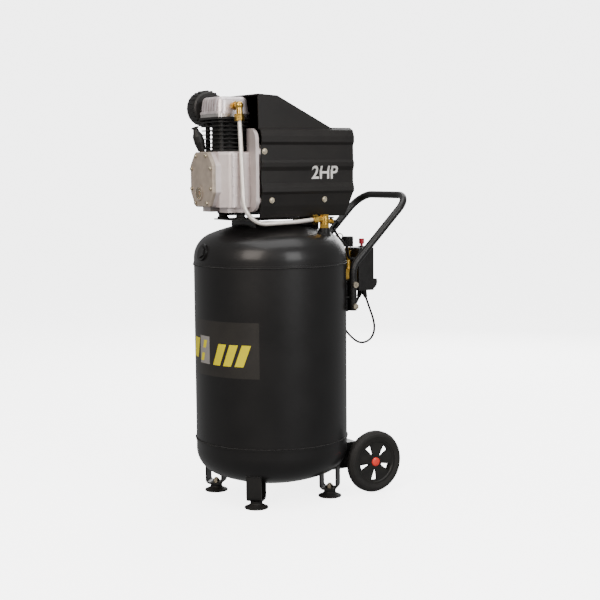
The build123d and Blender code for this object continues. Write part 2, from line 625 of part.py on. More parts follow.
def make_crankcase():
    body = case_prism(CASE_FRONT, CASE_BACK - 1)
    swell = Pos(0, 0, CASE_BOTTOM) * extrude(case_shoulder(), amount=CASE_TOP - CASE_BOTTOM)
    tops = [e for e in swell.edges() if abs(e.center().Z - CASE_TOP) < 0.1 and abs(e.center().Y) > 30]
    body += fillet(tops, 7.0)
    for rise in RIB_RISES:
        base = Pos(0, 0, CRANK_Z + rise - RIB_THICK / 2)
        rib = base * extrude(case_shoulder(RIB_PROUD), amount=RIB_THICK)
        body += rib - block(CASE_FRONT - 30, SHOULDER_FRONT + 6, -150, 150, CASE_BOTTOM, CASE_TOP)
    flange = block(CASE_FLANGE, CASE_BACK, -FLANGE_HALF, FLANGE_HALF, FLANGE_BOTTOM, FLANGE_TOP)
    flange = fillet(flange.edges().filter_by(Axis.X), FLANGE_CORNER)
    flange -= block(CASE_FLANGE - 1, CASE_BACK + 1, -FLANGE_NOTCH, FLANGE_NOTCH, CASE_TOP, FLANGE_TOP + 1)
    body += flange
    spigot = cyl_x(MOTOR_RADIUS, CASE_BACK - 1, MOTOR_START, 0, CRANK_Z)
    spigot -= block(CASE_BACK - 2, MOTOR_START + 1, -MOTOR_RADIUS, MOTOR_RADIUS, CASE_TOP - 4, FLANGE_TOP)
    body += spigot - cyl_x(MOTOR_RADIUS - 8, CASE_BACK, MOTOR_START + 1, 0, CRANK_Z)
    for s in (-1, 1):
        foot = block(-140, CASE_BACK, 0, 60 - 22, CASE_BOTTOM - 12, CASE_BOTTOM + 24)
        body += Pos(0, 22 if s > 0 else -60, 0) * foot
    for x, z in SHROUD_SCREWS[:2]:
        inner = lug_face(z, LUG_HALF)
        lug = block(CASE_BACK - 2, x + LUG_HALF, inner - 9, inner, z - LUG_HALF, z + LUG_HALF)
        body += lug + mirrored_y(lug)
    body -= cyl_x(CASE_CAVITY, CASE_FRONT - 1, CASE_BACK - BEARING_WIDTH - 1, 0, CRANK_Z)
    inside = SHOULDER_HALF - SHOULDER_WALL
    body -= block(SHOULDER_FRONT + 8, CASE_BACK - BEARING_WIDTH - 1, -inside, inside,
                  CRANK_Z - SHOULDER_ROOM, CRANK_Z + SHOULDER_ROOM)
    body -= cyl_x(BEARING_RADIUS, CASE_BACK - BEARING_WIDTH - 2, CASE_BACK + 1, 0, CRANK_Z)
    body -= cyl_z(BORE_RADIUS + 1.5, CRANK_Z + 20, CASE_TOP + 1, BORE_X, 0)
    for y, z in case_screw_points():
        body -= cyl_x(SCREW_SHANK, CASE_FRONT - 1, CASE_FRONT + 8, y, z)
    for s in (-1, 1):
        for x, z in SHROUD_SCREWS[:2]:
            hole = cyl_y(SCREW_SHANK, FLANGE_HALF - 30, FLANGE_HALF + 20, x, z)
            body -= hole if s > 0 else mirrored_y(hole)
    return body - breather_bore()


def make_crankcase_cover():
    cover = case_prism(CASE_FRONT - COVER_THICK, CASE_FRONT)
    front = cover.faces().sort_by(Axis.X)[0]
    cover = chamfer(front.edges(), 2.5)
    boss = cyl_x(SIGHT_RADIUS, CASE_FRONT - COVER_THICK - 2.5, CASE_FRONT - 1, SIGHT_Y, SIGHT_Z)
    cover += boss
    cover -= cyl_x(CASE_CAVITY - 4, CASE_FRONT - 4, CASE_FRONT + 1, 0, CRANK_Z)
    cover -= cyl_x(SIGHT_RADIUS - 4, CASE_FRONT - COVER_THICK - 5, CASE_FRONT + 1, SIGHT_Y, SIGHT_Z)
    for y, z in case_screw_points():
        cover -= cyl_x(SCREW_SHANK + 0.1, CASE_FRONT - 20, CASE_FRONT + 1, y, z)
    return cover


def make_sight_glass():
    front = CASE_FRONT - COVER_THICK
    glass = cyl_x(SIGHT_RADIUS - 4, front - 3.5, front + 2.5, SIGHT_Y, SIGHT_Z)
    return fillet(glass.faces().sort_by(Axis.X)[0].edges(), 1.5)


def screw_x(at, length, head=4.2, shank=SCREW_SHANK):
    """A socket screw whose head faces -X; the point is under its head."""
    x, y, z = at
    socket = cyl_x(1.8, x - 4.0, x - 1.8, y, z)
    return cyl_x(head, x - 3.6, x, y, z) + cyl_x(shank, x, x + length, y, z) - socket


def make_machine_screws():
    solids = []
    for y, z in case_screw_points():
        solids.append(screw_x((CASE_FRONT - COVER_THICK, y, z), COVER_THICK + 3.5))
    for sx in (-1, 1):
        for sy in (-1, 1):
            x = BORE_X + sx * HEAD_BOLT[0]
            y = sy * HEAD_BOLT[1]
            head = hexagon(10.0, 5.0, (x, y, HEAD_BOLT_SEAT + 0.02), (0, 0, 1))
            solids.append(head + cyl_z(3.0, BARREL_TOP - 20, HEAD_BOLT_SEAT + 1, x, y))
    for x, z in SHROUD_SCREWS:
        y = screw_face(z)
        cup = ((0, 2.6), (SCREW_HEAD * 0.55, 2.4), (SCREW_HEAD, 0.9), (SCREW_HEAD, 0), (0, 0))
        head = Pos(x, -y, z) * Rot(90, 0, 0) * turned(cup)
        screw = head + cyl_y(SCREW_SHANK, -y - 1, -y + 9, x, z)
        solids += [screw, mirrored_y(screw)]
    return solids


def breather_plane():
    foot = Vector(CASE_FRONT + 9.5, 22, CASE_TOP - 6)
    top = Vector(CASE_FRONT - 11, 22, CASE_TOP + 55)
    return Plane(origin=foot, z_dir=(top - foot).normalized()), (top - foot).length


def breather_bore():
    plane, _ = breather_plane()
    return plane * Pos(0, 0, -20) * Cylinder(6.1, 40, align=BOTTOM)


def make_breather_plug():
    plane, length = breather_plane()
    outline = ((0, -1), (6, -1), (6, 10), (8.5, 10), (9.5, 14), (12, 30), (11.5, 44), (7.5, 53),
               (5.5, length - 4), (8.5, length - 3), (8.5, length), (0, length + 0.6))
    return plane * turned(outline)


def fin_half(fraction):
    """Half sizes of a cylinder fin, growing from the foot to the head."""
    x = FIN_FOOT[0] + (FIN_HEAD[0] - FIN_FOOT[0]) * fraction
    y = FIN_FOOT[1] + (FIN_HEAD[1] - FIN_FOOT[1]) * fraction
    return x, y


def make_cylinder_barrel():
    wall = BORE_RADIUS + BARREL_WALL
    solid = cyl_z(wall, CASE_TOP, BARREL_TOP, BORE_X, 0)
    for i in range(FIN_COUNT + 2):
        fraction = i / (FIN_COUNT + 1)
        x, y = fin_half(fraction)
        thick = FIN_THICK if 0 < i <= FIN_COUNT else 5.0
        z = CASE_TOP + fraction * (BARREL_TOP - CASE_TOP - thick)
        plate = block(BORE_X - x, BORE_X + x, -y, y, z, z + thick)
        solid += fillet(plate.edges().filter_by(Axis.Z), 8.0)
    for sx in (-1, 1):
        for sy in (-1, 1):
            x = BORE_X + sx * HEAD_BOLT[0]
            y = sy * HEAD_BOLT[1]
            solid += cyl_z(5.5, CASE_TOP, BARREL_TOP, x, y)
            solid -= cyl_z(3.05, BARREL_TOP - 20.5, BARREL_TOP + 1, x, y)
    return solid - cyl_z(BORE_RADIUS, CASE_TOP - 1, BARREL_TOP + 1, BORE_X, 0)


def make_valve_plate():
    x, y = HEAD_HALF[0] - 3, HEAD_HALF[1] - 3
    plate = block(BORE_X - x, BORE_X + x, -y, y, BARREL_TOP, VALVE_PLATE_TOP)
    plate = fillet(plate.edges().filter_by(Axis.Z), 8.0)
    for dx in (-14, 14):
        plate -= cyl_z(5.0, BARREL_TOP - 1, VALVE_PLATE_TOP + 1, BORE_X + dx, 0)
    return plate - head_screw_holes()


def head_screw_holes():
    holes = None
    for sx in (-1, 1):
        for sy in (-1, 1):
            x = BORE_X + sx * HEAD_BOLT[0]
            y = sy * HEAD_BOLT[1]
            hole = cyl_z(3.1, BARREL_TOP - 1, HEAD_TOP + 5, x, y)
            hole += cyl_z(HEAD_BOLT_POCKET, HEAD_BOLT_SEAT, HEAD_TOP + 5, x, y)
            holes = hole if holes is None else holes + hole
    return holes


def make_cylinder_head():
    z = VALVE_PLATE_TOP
    lip = block(BORE_X - HEAD_HALF[0], BORE_X + HEAD_HALF[0], -HEAD_HALF[1], HEAD_HALF[1], z, z + HEAD_LIP)
    lip = fillet(lip.edges().filter_by(Axis.Z), HEAD_CORNER)
    foot = Pos(BORE_X, 0, z + HEAD_LIP) * RectangleRounded(2 * HEAD_HALF[0] - 4, 2 * HEAD_HALF[1] - 4,
                                                           HEAD_CORNER)
    top = Pos(BORE_X, 0, HEAD_TOP) * RectangleRounded(2 * HEAD_CROWN[0], 2 * HEAD_CROWN[1], HEAD_CORNER)
    crown = loft([foot, top])
    crown = fillet(crown.faces().sort_by(Axis.Z)[-1].edges(), HEAD_ROUND)
    solid = lip + crown
    for x0, x1 in ((-29, -3), (3, 29)):
        pocket = block(BORE_X + x0, BORE_X + x1, -20, 20, z - 1, HEAD_TOP - 9)
        solid -= pocket
    for i in range(HEAD_SLOTS):
        y = (i - (HEAD_SLOTS - 1) / 2) * HEAD_SLOT_PITCH
        solid -= block(BORE_X - 60, BORE_X - HEAD_SLOT_FLOOR, y - HEAD_SLOT / 2, y + HEAD_SLOT / 2,
                       z + HEAD_LIP + 1, HEAD_TOP + 5)
    solid -= cyl_y(6.0, -60, -20, PIPE_X, ELBOW_Z)
    solid -= cyl_y(9.0, 20, 60, FILTER_X, FILTER_Z)
    return solid - head_screw_holes()


def make_air_filter():
    mid = (FILTER_NEAR + FILTER_FAR) / 2
    outline = ((0, FILTER_FAR), (FILTER_RADIUS - 8, FILTER_FAR), (FILTER_RADIUS - 1, FILTER_FAR - 5),
               (FILTER_RADIUS, mid), (FILTER_RADIUS - 2, FILTER_NEAR + 3), (FILTER_RADIUS - 6, FILTER_NEAR),
               (12, FILTER_NEAR), (8.9, FILTER_NEAR - 5), (8.9, 30), (6.5, 30),
               (6.5, FILTER_NEAR + 3), (FILTER_RADIUS - 8, FILTER_NEAR + 3),
               (FILTER_RADIUS - 4, mid), (FILTER_RADIUS - 8, FILTER_FAR - 5), (0, FILTER_FAR - 4))
    housing = turned(outline)
    for i in range(24):
        rib = Rot(0, 0, i * 15) * block(FILTER_RADIUS - 3, FILTER_RADIUS + 0.8, -1.4, 1.4,
                                        FILTER_NEAR + 6, FILTER_FAR - 8)
        housing += rib
    return Pos(FILTER_X, 0, FILTER_Z) * Rot(-90, 0, 0) * housing


def pin_height():
    return CRANK_Z + STROKE / 2


def make_crank_web():
    front = BORE_X + ROD_THICK / 2 + 0.5
    back = front + WEB_THICK
    web = cyl_x(17.0, front, back, 0, CRANK_Z) + cyl_x(14.0, front, back, 0, pin_height())
    weight = cyl_x(36.0, front, back, 0, CRANK_Z)
    weight -= block(front - 1, back + 1, -40, 40, CRANK_Z - 4, CRANK_Z + 40)
    web += weight + cyl_x(CRANK_PIN, BORE_X - ROD_THICK / 2 - 2, front + 1, 0, pin_height())
    return web - cyl_x(SHAFT_RADIUS + RUNNING_FIT, front + 1.5, back + 1, 0, CRANK_Z)


def make_connecting_rod():
    x0, x1 = BORE_X - ROD_THICK / 2, BORE_X + ROD_THICK / 2
    low, high = pin_height(), pin_height() + ROD_LENGTH
    rod = cyl_x(15.0, x0, x1, 0, low) + cyl_x(10.0, x0, x1, 0, high)
    rod += block(x0 + 2, x1 - 2, -6.5, 6.5, low + 8, high - 6)
    rod -= cyl_x(CRANK_PIN + 0.1, x0 - 1, x1 + 1, 0, low)
    return rod - cyl_x(WRIST_PIN + 0.1, x0 - 1, x1 + 1, 0, high)


def make_piston():
    top = BARREL_TOP - 1
    z = pin_height() + ROD_LENGTH
    solid = cyl_z(BORE_RADIUS - PISTON_PLAY, top - PISTON_HEIGHT, top, BORE_X, 0)
    solid -= cyl_z(BORE_RADIUS - 4, top - PISTON_HEIGHT - 1, top - 5, BORE_X, 0)
    for i in range(3):
        groove = cyl_z(BORE_RADIUS + 1, top - 6 - 4 * i, top - 4.2 - 4 * i, BORE_X, 0)
        solid -= groove - cyl_z(BORE_RADIUS - 1.2, top - 40, top + 1, BORE_X, 0)
    pin = cyl_x(WRIST_PIN, BORE_X - BORE_RADIUS + 2, BORE_X + BORE_RADIUS - 2, 0, z)
    return solid + pin


# ------------------------------------------------------------------ motor
def make_motor_housing():
    tube = cyl_x(MOTOR_RADIUS, MOTOR_START, MOTOR_END, 0, CRANK_Z)
    return tube - cyl_x(MOTOR_RADIUS - MOTOR_WALL, MOTOR_START - 1, MOTOR_END + 1, 0, CRANK_Z)


def make_stator_core():
    outer = MOTOR_RADIUS - MOTOR_WALL - 0.02
    core = cyl_x(outer, STATOR_FRONT, STATOR_BACK, 0, CRANK_Z)
    return core - cyl_x(STATOR_INNER, STATOR_FRONT - 1, STATOR_BACK + 1, 0, CRANK_Z)


def make_end_bell():
    bell = cyl_x(MOTOR_RADIUS, MOTOR_END, BELL_END, 0, CRANK_Z)
    bell -= cyl_x(BEARING_RADIUS, MOTOR_END - 1, MOTOR_END + BEARING_WIDTH + 1, 0, CRANK_Z)
    bell -= cyl_x(SHAFT_RADIUS + 1.0, MOTOR_END, BELL_END + 1, 0, CRANK_Z)
    for i in range(6):
        a = math.radians(30 + 60 * i)
        y, z = 46 * math.cos(a), CRANK_Z + 46 * math.sin(a)
        bell -= cyl_x(12.0, MOTOR_END - 1, BELL_END + 1, y, z)
    screw_x_at, screw_z = SHROUD_SCREWS[2]
    inner = lug_face(screw_z, LUG_HALF)
    bell += block(BELL_END - 3, screw_x_at + LUG_HALF, -inner, inner, screw_z - LUG_HALF, screw_z + LUG_HALF)
    z = PLATFORM_Z + PLATFORM_PLATE + MOUNT_HEIGHT
    for s in (-1, 1):
        foot = block(MOTOR_END - 6, BELL_END + 8, 0, 36, z, z + 10)
        web = block(MOTOR_END + 1, BELL_END, 0, 30, z + 5, z + 40)
        pair = Pos(0, 24, 0) * foot + Pos(0, 26, 0) * web
        bell += pair if s > 0 else mirrored_y(pair)
    for s in (-1, 1):
        hole = cyl_y(SCREW_SHANK, inner - 12, inner + 5, screw_x_at, screw_z)
        bell -= hole if s > 0 else mirrored_y(hole)
    return bell - cyl_x(MOTOR_RADIUS, MOTOR_END - 10, MOTOR_END, 0, CRANK_Z)


def make_shaft_bearings():
    bearings = []
    for x in (CASE_BACK - BEARING_WIDTH - 0.5, MOTOR_END + 0.5):
        ring = cyl_x(BEARING_RADIUS - 0.02, x, x + BEARING_WIDTH, 0, CRANK_Z)
        bearings.append(ring - cyl_x(SHAFT_RADIUS + RUNNING_FIT, x - 1, x + BEARING_WIDTH + 1, 0, CRANK_Z))
    return bearings


def make_motor_shaft():
    start = BORE_X + ROD_THICK / 2 + 3.0
    return cyl_x(SHAFT_RADIUS, start, SHAFT_END, 0, CRANK_Z)


def make_rotor_core():
    core = cyl_x(ROTOR_RADIUS, STATOR_FRONT - 3, STATOR_BACK + 3, 0, CRANK_Z)
    return core - cyl_x(SHAFT_RADIUS, STATOR_FRONT - 5, STATOR_BACK + 5, 0, CRANK_Z)


def make_cooling_fan():
    fan = cyl_x(FAN_HUB, FAN_FRONT, FAN_BACK, 0, CRANK_Z)
    fan += cyl_x(FAN_RADIUS, FAN_FRONT, FAN_FRONT + 3, 0, CRANK_Z)
    blade = block(FAN_FRONT + 1, FAN_BACK - 2, -1.5, 1.5, FAN_HUB - 3, FAN_RADIUS)
    for i in range(FAN_BLADES):
        fan += Pos(0, 0, CRANK_Z) * Rot(i * 360 / FAN_BLADES, 0, 0) * blade
    return fan - cyl_x(SHAFT_RADIUS, FAN_FRONT - 1, FAN_BACK + 1, 0, CRANK_Z)


def make_capacitor():
    can = cyl_x(17.0, -30, 45, 76, 669)
    return fillet(can.edges(), 2.0)


# ------------------------------------------------------------------ shroud
def shroud_half(z):
    """Half width of the shroud's outside at a height."""
    for (y0, z0), (y1, z1) in zip(SHROUD_PROFILE, SHROUD_PROFILE[1:]):
        if z0 <= z <= z1:
            return y0 + (y1 - y0) * (z - z0) / (z1 - z0)
    raise ValueError("height is off the shroud")


def lug_face(z, half_height):
    """How far out a bracket may reach behind the shroud's wall around a height."""
    narrow = min(shroud_half(z - half_height), shroud_half(z), shroud_half(z + half_height))
    return narrow - SHROUD_WALL - 0.3


def screw_face(z):
    """Where a screw head sits flat on the shroud's bulged wall."""
    return max(shroud_half(z - SCREW_HEAD), shroud_half(z), shroud_half(z + SCREW_HEAD)) + 0.05


def shroud_section(inset):
    """The shroud's section in the YZ plane, taken in by the wall."""
    top = SHROUD_PROFILE[-1][1]
    right = [(y - inset, min(z, top - inset)) for y, z in SHROUD_PROFILE]
    if inset:
        right[0] = (right[0][0], SHROUD_PROFILE[0][1] - 5)
    left = [(-y, z) for y, z in reversed(right)]
    return make_face(Plane.YZ * Polyline(*(right + left), close=True))


def hood_section(inset, front):
    """The hood's side outline in the XZ plane."""
    top = -inset
    points = ((front, SHROUD_PROFILE[-1][1] - 12), (front, HOOD_TOP + top),
              (HOOD_FLAT_END[0], HOOD_FLAT_END[1] + top),
              (HOOD_TAIL[0] - 1.2 * inset, HOOD_TAIL[1] - inset * 0.4),
              (HOOD_TAIL[0] - 1.2 * inset, SHROUD_PROFILE[-1][1] - 12))
    face = make_face(Plane.XZ * Polyline(*points, close=True))
    half = HOOD_HALF - inset
    return Pos(0, -half, 0) * extrude(face, amount=2 * half, dir=(0, 1, 0))


def make_shroud():
    length = SHROUD_BACK - SHROUD_FRONT
    outer = Pos(SHROUD_FRONT, 0, 0) * extrude(shroud_section(0), amount=length, dir=(1, 0, 0))
    hood = hood_section(0, HOOD_FRONT)
    hood &= block(HOOD_FRONT, 200, -HOOD_HALF, HOOD_HALF, SHROUD_PROFILE[-1][1] - 6, HOOD_TOP + 5)
    outer += hood
    inner = Pos(SHROUD_FRONT - 5, 0, 0) * extrude(shroud_section(SHROUD_WALL),
                                                  amount=length + 5 - SHROUD_WALL, dir=(1, 0, 0))
    duct = hood_section(SHROUD_WALL, HOOD_FRONT - 5)
    rear_corner = ((SHROUD_BACK + 5, CRANK_Z - 32), (SHROUD_BACK, CRANK_Z - 32),
                   (SHROUD_BACK - 20, CRANK_Z - 95), (SHROUD_BACK + 5, CRANK_Z - 95))
    notch = extrude(make_face(Plane.XZ * Polyline(*rear_corner, close=True)), amount=300, dir=(0, 1, 0))
    shell = outer - inner - duct - Pos(0, -150, 0) * notch
    pitch = (GRILLE_TOP - GRILLE_BOTTOM) / GRILLE_SLOTS
    for i in range(GRILLE_SLOTS + 1):
        z = GRILLE_BOTTOM + i * pitch
        for y0 in (-GRILLE_HALF, 4):
            slot = block(SHROUD_BACK - 10, SHROUD_BACK + 5, y0, y0 + GRILLE_HALF - 4,
                         z - GRILLE_SLOT / 2, z + GRILLE_SLOT / 2)
            shell -= slot
    for x, z in SHROUD_SCREWS:
        shell -= cyl_y(SCREW_SHANK + 0.2, -150, 150, x, z)
    return shell


# ------------------------------------------------------------------ air line
def make_delivery_pipe():
    points = ((PIPE_X, PIPE_TOP_Y, ELBOW_Z - 30), PIPE_BEND, PIPE_RISE, (CHECK_X - 26, CHECK_Y, CHECK_Z))
    solid, _ = pipe(points, (PIPE_BEND_RADIUS, PIPE_RISE_RADIUS), PIPE_RADIUS, PIPE_WALL)
    return solid


def pipe_end(at_top):
    """Plane at one end of the delivery pipe, looking into its fitting."""
    if at_top:
        end = Vector(PIPE_X, PIPE_TOP_Y, ELBOW_Z - 30)
        return end, (end - Vector(*PIPE_BEND)).normalized()
    end = Vector(CHECK_X - 26, CHECK_Y, CHECK_Z)
    return end, (end - Vector(*PIPE_RISE)).normalized()


def make_delivery_elbow():
    end, way = pipe_end(True)
    corner = Vector(PIPE_X, PIPE_TOP_Y, ELBOW_Z)
    arm = cyl_y(5.9, PIPE_TOP_Y, -40, PIPE_X, ELBOW_Z)
    collar = hexagon(17.0, 8.0, (PIPE_X, -62, ELBOW_Z), (0, 1, 0))
    ball = Pos(*corner) * Sphere(9.0)
    drop = Plane(origin=corner, z_dir=-way) * Cylinder(7.0, 22, align=BOTTOM)
    nut = hexagon(19.0, 15.0, tuple(end - way * 4), tuple(way))
    solid = arm + collar + ball + drop + nut
    return solid - Plane(origin=end - way * 6, z_dir=way) * Cylinder(PIPE_RADIUS + 0.02, 6.05, align=BOTTOM)


def make_check_valve():
    end, way = pipe_end(False)
    solid = cyl_z(BOSS_BORE - 0.05, BOSS_TOP - 14, BOSS_TOP, CHECK_X, CHECK_Y)
    solid += hexagon(21.0, 8.0, (CHECK_X, CHECK_Y, BOSS_TOP), (0, 0, 1))
    solid += cyl_z(10.5, BOSS_TOP + 7, CHECK_TOP - 4, CHECK_X, CHECK_Y)
    solid += hexagon(19.0, 5.0, (CHECK_X, CHECK_Y, CHECK_TOP - 5), (0, 0, 1))
    solid += cyl_x(7.0, CHECK_X - 26, CHECK_X, CHECK_Y, CHECK_Z)
    solid += hexagon(19.0, 13.0, tuple(end - way * 5), tuple(way))
    solid += cyl_x(5.0, CHECK_X, CHECK_X + 22, CHECK_Y, CHECK_Z - UNLOADER_DROP)
    solid += hexagon(12.0, 6.0, (CHECK_X + 15, CHECK_Y, CHECK_Z - UNLOADER_DROP), (1, 0, 0))
    socket = Plane(origin=end - way * 7, z_dir=way) * Cylinder(PIPE_RADIUS + 0.02, 7.05, align=BOTTOM)
    return solid - socket


def make_unloader_tube():
    start = (CHECK_X + 22, CHECK_Y, CHECK_Z - UNLOADER_DROP)
    points = (start, (119, CHECK_Y, CHECK_Z - UNLOADER_DROP), (131, -66, 618), (166, -34, 595),
              (198, -22, 570), (203, -20, 542), (SWITCH_X[0], -20, 542))
    solid, _ = pipe(points, (12, 20, 30, 18, 11), UNLOADER_RADIUS)
    return solid


# ------------------------------------------------------------------ pressure switch and outlet
def make_manifold():
    nipple = cyl_x(BOSS_BORE - 0.05, TANK_RADIUS - 4, TANK_RADIUS + 9, 0, OUTLET_Z)
    nipple += hexagon(18.0, 6.0, (TANK_RADIUS + 8, 0, OUTLET_Z), (1, 0, 0))
    body = block(BLOCK_X[0] - 2, BLOCK_X[1], -BLOCK_HALF, BLOCK_HALF, OUTLET_Z - 13, OUTLET_Z + 13)
    body = fillet(body.edges().filter_by(Axis.X), 3.0)
    feed = cyl_x(7.0, BLOCK_X[1], SWITCH_X[0] - 0.02, 0, OUTLET_Z)
    tower = cyl_z(REGULATOR_RADIUS, OUTLET_Z + 12, REGULATOR_KNOB_Z[0] - 10, REGULATOR_X, 0)
    tower += cyl_z(6.0, OUTLET_Z + 12, REGULATOR_KNOB_Z[0] - 2, REGULATOR_X, 0)
    arm_x = outlet_x()
    arm = cyl_y(8.0, 0, ARM_OUT_Y, arm_x, OUTLET_Z) - cyl_z(4.55, OUTLET_Z + 6, OUTLET_Z + 10, *SAFETY_AT)
    arm += hexagon(18.0, 8.0, (arm_x, ARM_OUT_Y - 8, OUTLET_Z), (0, 1, 0))
    stem = cyl_z(4.5, OUTLET_Z, GAUGE_Z - GAUGE_RADIUS - 3, arm_x, GAUGE_Y)
    stem += cyl_y(10.0, GAUGE_Y - 8, GAUGE_Y + 8, arm_x, OUTLET_Z)
    return nipple + body + feed + tower + arm + stem


def outlet_x():
    return (BLOCK_X[0] + BLOCK_X[1]) / 2


def make_safety_valve():
    z = OUTLET_Z + 8
    solid = cyl_z(4.5, z - 1.9, z + 6, *SAFETY_AT)
    solid += hexagon(14.0, 7.0, (*SAFETY_AT, z + 5), (0, 0, 1))
    solid += cyl_z(SAFETY_RADIUS - 0.7, z + 12, SAFETY_TOP, *SAFETY_AT)
    solid += cyl_z(SAFETY_RADIUS, SAFETY_TOP - 6, SAFETY_TOP, *SAFETY_AT)
    return solid - cyl_z(SAFETY_STEM + RUNNING_FIT, SAFETY_TOP - 14, SAFETY_TOP + 1, *SAFETY_AT)


def make_safety_ring():
    stem = cyl_z(SAFETY_STEM, SAFETY_TOP - 10, SAFETY_TOP + 4, *SAFETY_AT)
    eye = cyl_z(3.6, SAFETY_TOP + 0.4, RING_Z - RING_RADIUS + 3, *SAFETY_AT)
    loop = Pos(*SAFETY_AT, RING_Z) * Rot(90, 0, 0) * Torus(RING_RADIUS, RING_WIRE)
    return stem + eye + loop


def make_gauge():
    x0, x1 = GAUGE_X
    can = cyl_x(GAUGE_RADIUS, x0, x1, GAUGE_Y, GAUGE_Z)
    can = fillet(can.faces().sort_by(Axis.X)[0].edges(), 3.0)
    can -= cyl_x(GAUGE_RADIUS - 2, x1 - 5, x1 + 1, GAUGE_Y, GAUGE_Z)
    stem = cyl_z(4.0, GAUGE_Z - GAUGE_RADIUS - 3, GAUGE_Z - GAUGE_RADIUS + 3, outlet_x(), GAUGE_Y)
    post = cyl_x(1.2, x1 - 6, x1 - 3.2, GAUGE_Y, GAUGE_Z)
    return can + stem + post


def make_gauge_needle():
    x1 = GAUGE_X[1]
    hub = cyl_x(2.6, x1 - 2.8, x1 - 1.6, GAUGE_Y, GAUGE_Z)
    hand = block(x1 - 2.6, x1 - 1.8, -0.7, 0.7, -4.0, GAUGE_RADIUS - 5)
    return hub + Pos(0, GAUGE_Y, GAUGE_Z) * Rot(135, 0, 0) * hand


def make_regulator_knob():
    z0, z1 = REGULATOR_KNOB_Z
    knob = cyl_z(REGULATOR_KNOB, z0, z1, REGULATOR_X, 0)
    knob = fillet(knob.faces().sort_by(Axis.Z)[-1].edges(), 2.5)
    for i in range(16):
        a = math.radians(i * 22.5)
        r = REGULATOR_KNOB + 0.6
        knob -= cyl_z(1.5, z0 - 1, z1 - 4, REGULATOR_X + r * math.cos(a), r * math.sin(a))
    return knob


def make_outlet_coupler():
    x = outlet_x()
    body = cyl_y(8.0, ARM_OUT_Y, COUPLER_END, x, OUTLET_Z)
    body += hexagon(20.0, 7.0, (x, ARM_OUT_Y, OUTLET_Z), (0, 1, 0))
    body += cyl_y(9.2, COUPLER_END - 3, COUPLER_END, x, OUTLET_Z)
    return body - cyl_y(COUPLER_BORE, COUPLER_END - COUPLER_DEPTH, COUPLER_END + 1, x, OUTLET_Z)


def make_coupler_sleeve():
    x = outlet_x()
    y0, y1 = ARM_OUT_Y + 11.5, COUPLER_END - 3.5
    sleeve = cyl_y(COUPLER_RADIUS, y0, y1, x, OUTLET_Z)
    return sleeve - cyl_y(8.0 + RUNNING_FIT, y0 - 1, y1 + 1, x, OUTLET_Z)


def make_switch_base():
    x0, x1 = SWITCH_X
    base = block(x0, x1, -SWITCH_HALF, SWITCH_HALF, SWITCH_BOTTOM, SWITCH_SPLIT)
    base = fillet(base.edges().filter_by(Axis.Z), 4.0)
    base += cyl_y(LOBE_RADIUS, -SWITCH_HALF, 14, LOBE_X, LOBE_Z) - block(
        x0 - 5, x1 + 20, -40, 40, SWITCH_SPLIT, SWITCH_SPLIT + 40)
    inlet = cyl_x(9.0, x0, x0 + 12, 0, OUTLET_Z)
    base += inlet
    base += block(x0 + 3, x0 + 24, -14, 14, SWITCH_SPLIT - 1, OUTLET_Z + 11)
    for x, y, tilt, wire in zip(GLAND_X, GLAND_Y, (-GLAND_TILT, GLAND_TILT), (LEAD_RADIUS, CORD_RADIUS)):
        relief = turned(((0, 4), (GLAND_ROOT + 0.4, 4), (GLAND_ROOT, -5), (wire + 1.2, -GLAND_LENGTH),
                         (0, -GLAND_LENGTH)))
        base += Pos(x, y, SWITCH_BOTTOM) * Rot(0, tilt, 0) * relief
    return base


def make_switch_cover():
    x0, x1 = SWITCH_X
    cover = block(x0, x1, -SWITCH_HALF, SWITCH_HALF, SWITCH_SPLIT, SWITCH_TOP)
    cover = fillet(cover.edges().filter_by(Axis.Z), 4.0)
    cover = fillet(cover.faces().sort_by(Axis.Z)[-1].edges(), 3.0)
    w = SWITCH_WALL
    cover -= block(x0 + w, x1 - w, -SWITCH_HALF + w, SWITCH_HALF - w, SWITCH_SPLIT - 1, SWITCH_TOP - w)
    cover += cyl_z(KNOB_RADIUS + 1, SWITCH_TOP - w, SWITCH_TOP + 2.5, KNOB_X, 0)
    cover -= cyl_x(9.05, x0 - 1, x0 + w + 1, 0, OUTLET_Z)
    cover -= block(x0 - 1, x0 + w + 1, -9.05, 9.05, SWITCH_SPLIT - 1, OUTLET_Z)
    return cover - cyl_z(KNOB_STEM + 0.3, SWITCH_SPLIT, SWITCH_TOP + 5, KNOB_X, 0)


def make_switch_knob():
    stem = cyl_z(KNOB_STEM, SWITCH_TOP - 14, KNOB_BASE + 1, KNOB_X, 0)
    cap = cyl_z(KNOB_RADIUS, KNOB_BASE, KNOB_TOP, KNOB_X, 0)
    return stem + fillet(cap.faces().sort_by(Axis.Z)[-1].edges(), 1.5)


def make_drain_valve():
    x, y = DRAIN_AT
    body = cyl_z(4.9, DRAIN_TOP, DRAIN_TOP + 12, x, y)
    body += hexagon(15.0, 9.0, (x, y, DRAIN_TOP - 9), (0, 0, 1))
    return body + cyl_z(3.0, DRAIN_KNOB_Z[1] - 8, DRAIN_TOP, x, y)


def make_drain_knob():
    x, y = DRAIN_AT
    z0, z1 = DRAIN_KNOB_Z
    knob = cyl_z(9.0, z0, z1, x, y)
    for i in range(12):
        a = math.radians(i * 30)
        knob -= cyl_z(1.3, z0 - 1, z1 + 1, x + 9.5 * math.cos(a), y + 9.5 * math.sin(a))
    return knob - cyl_z(3.0 + RUNNING_FIT, z1 - 9, z1 + 1, x, y)


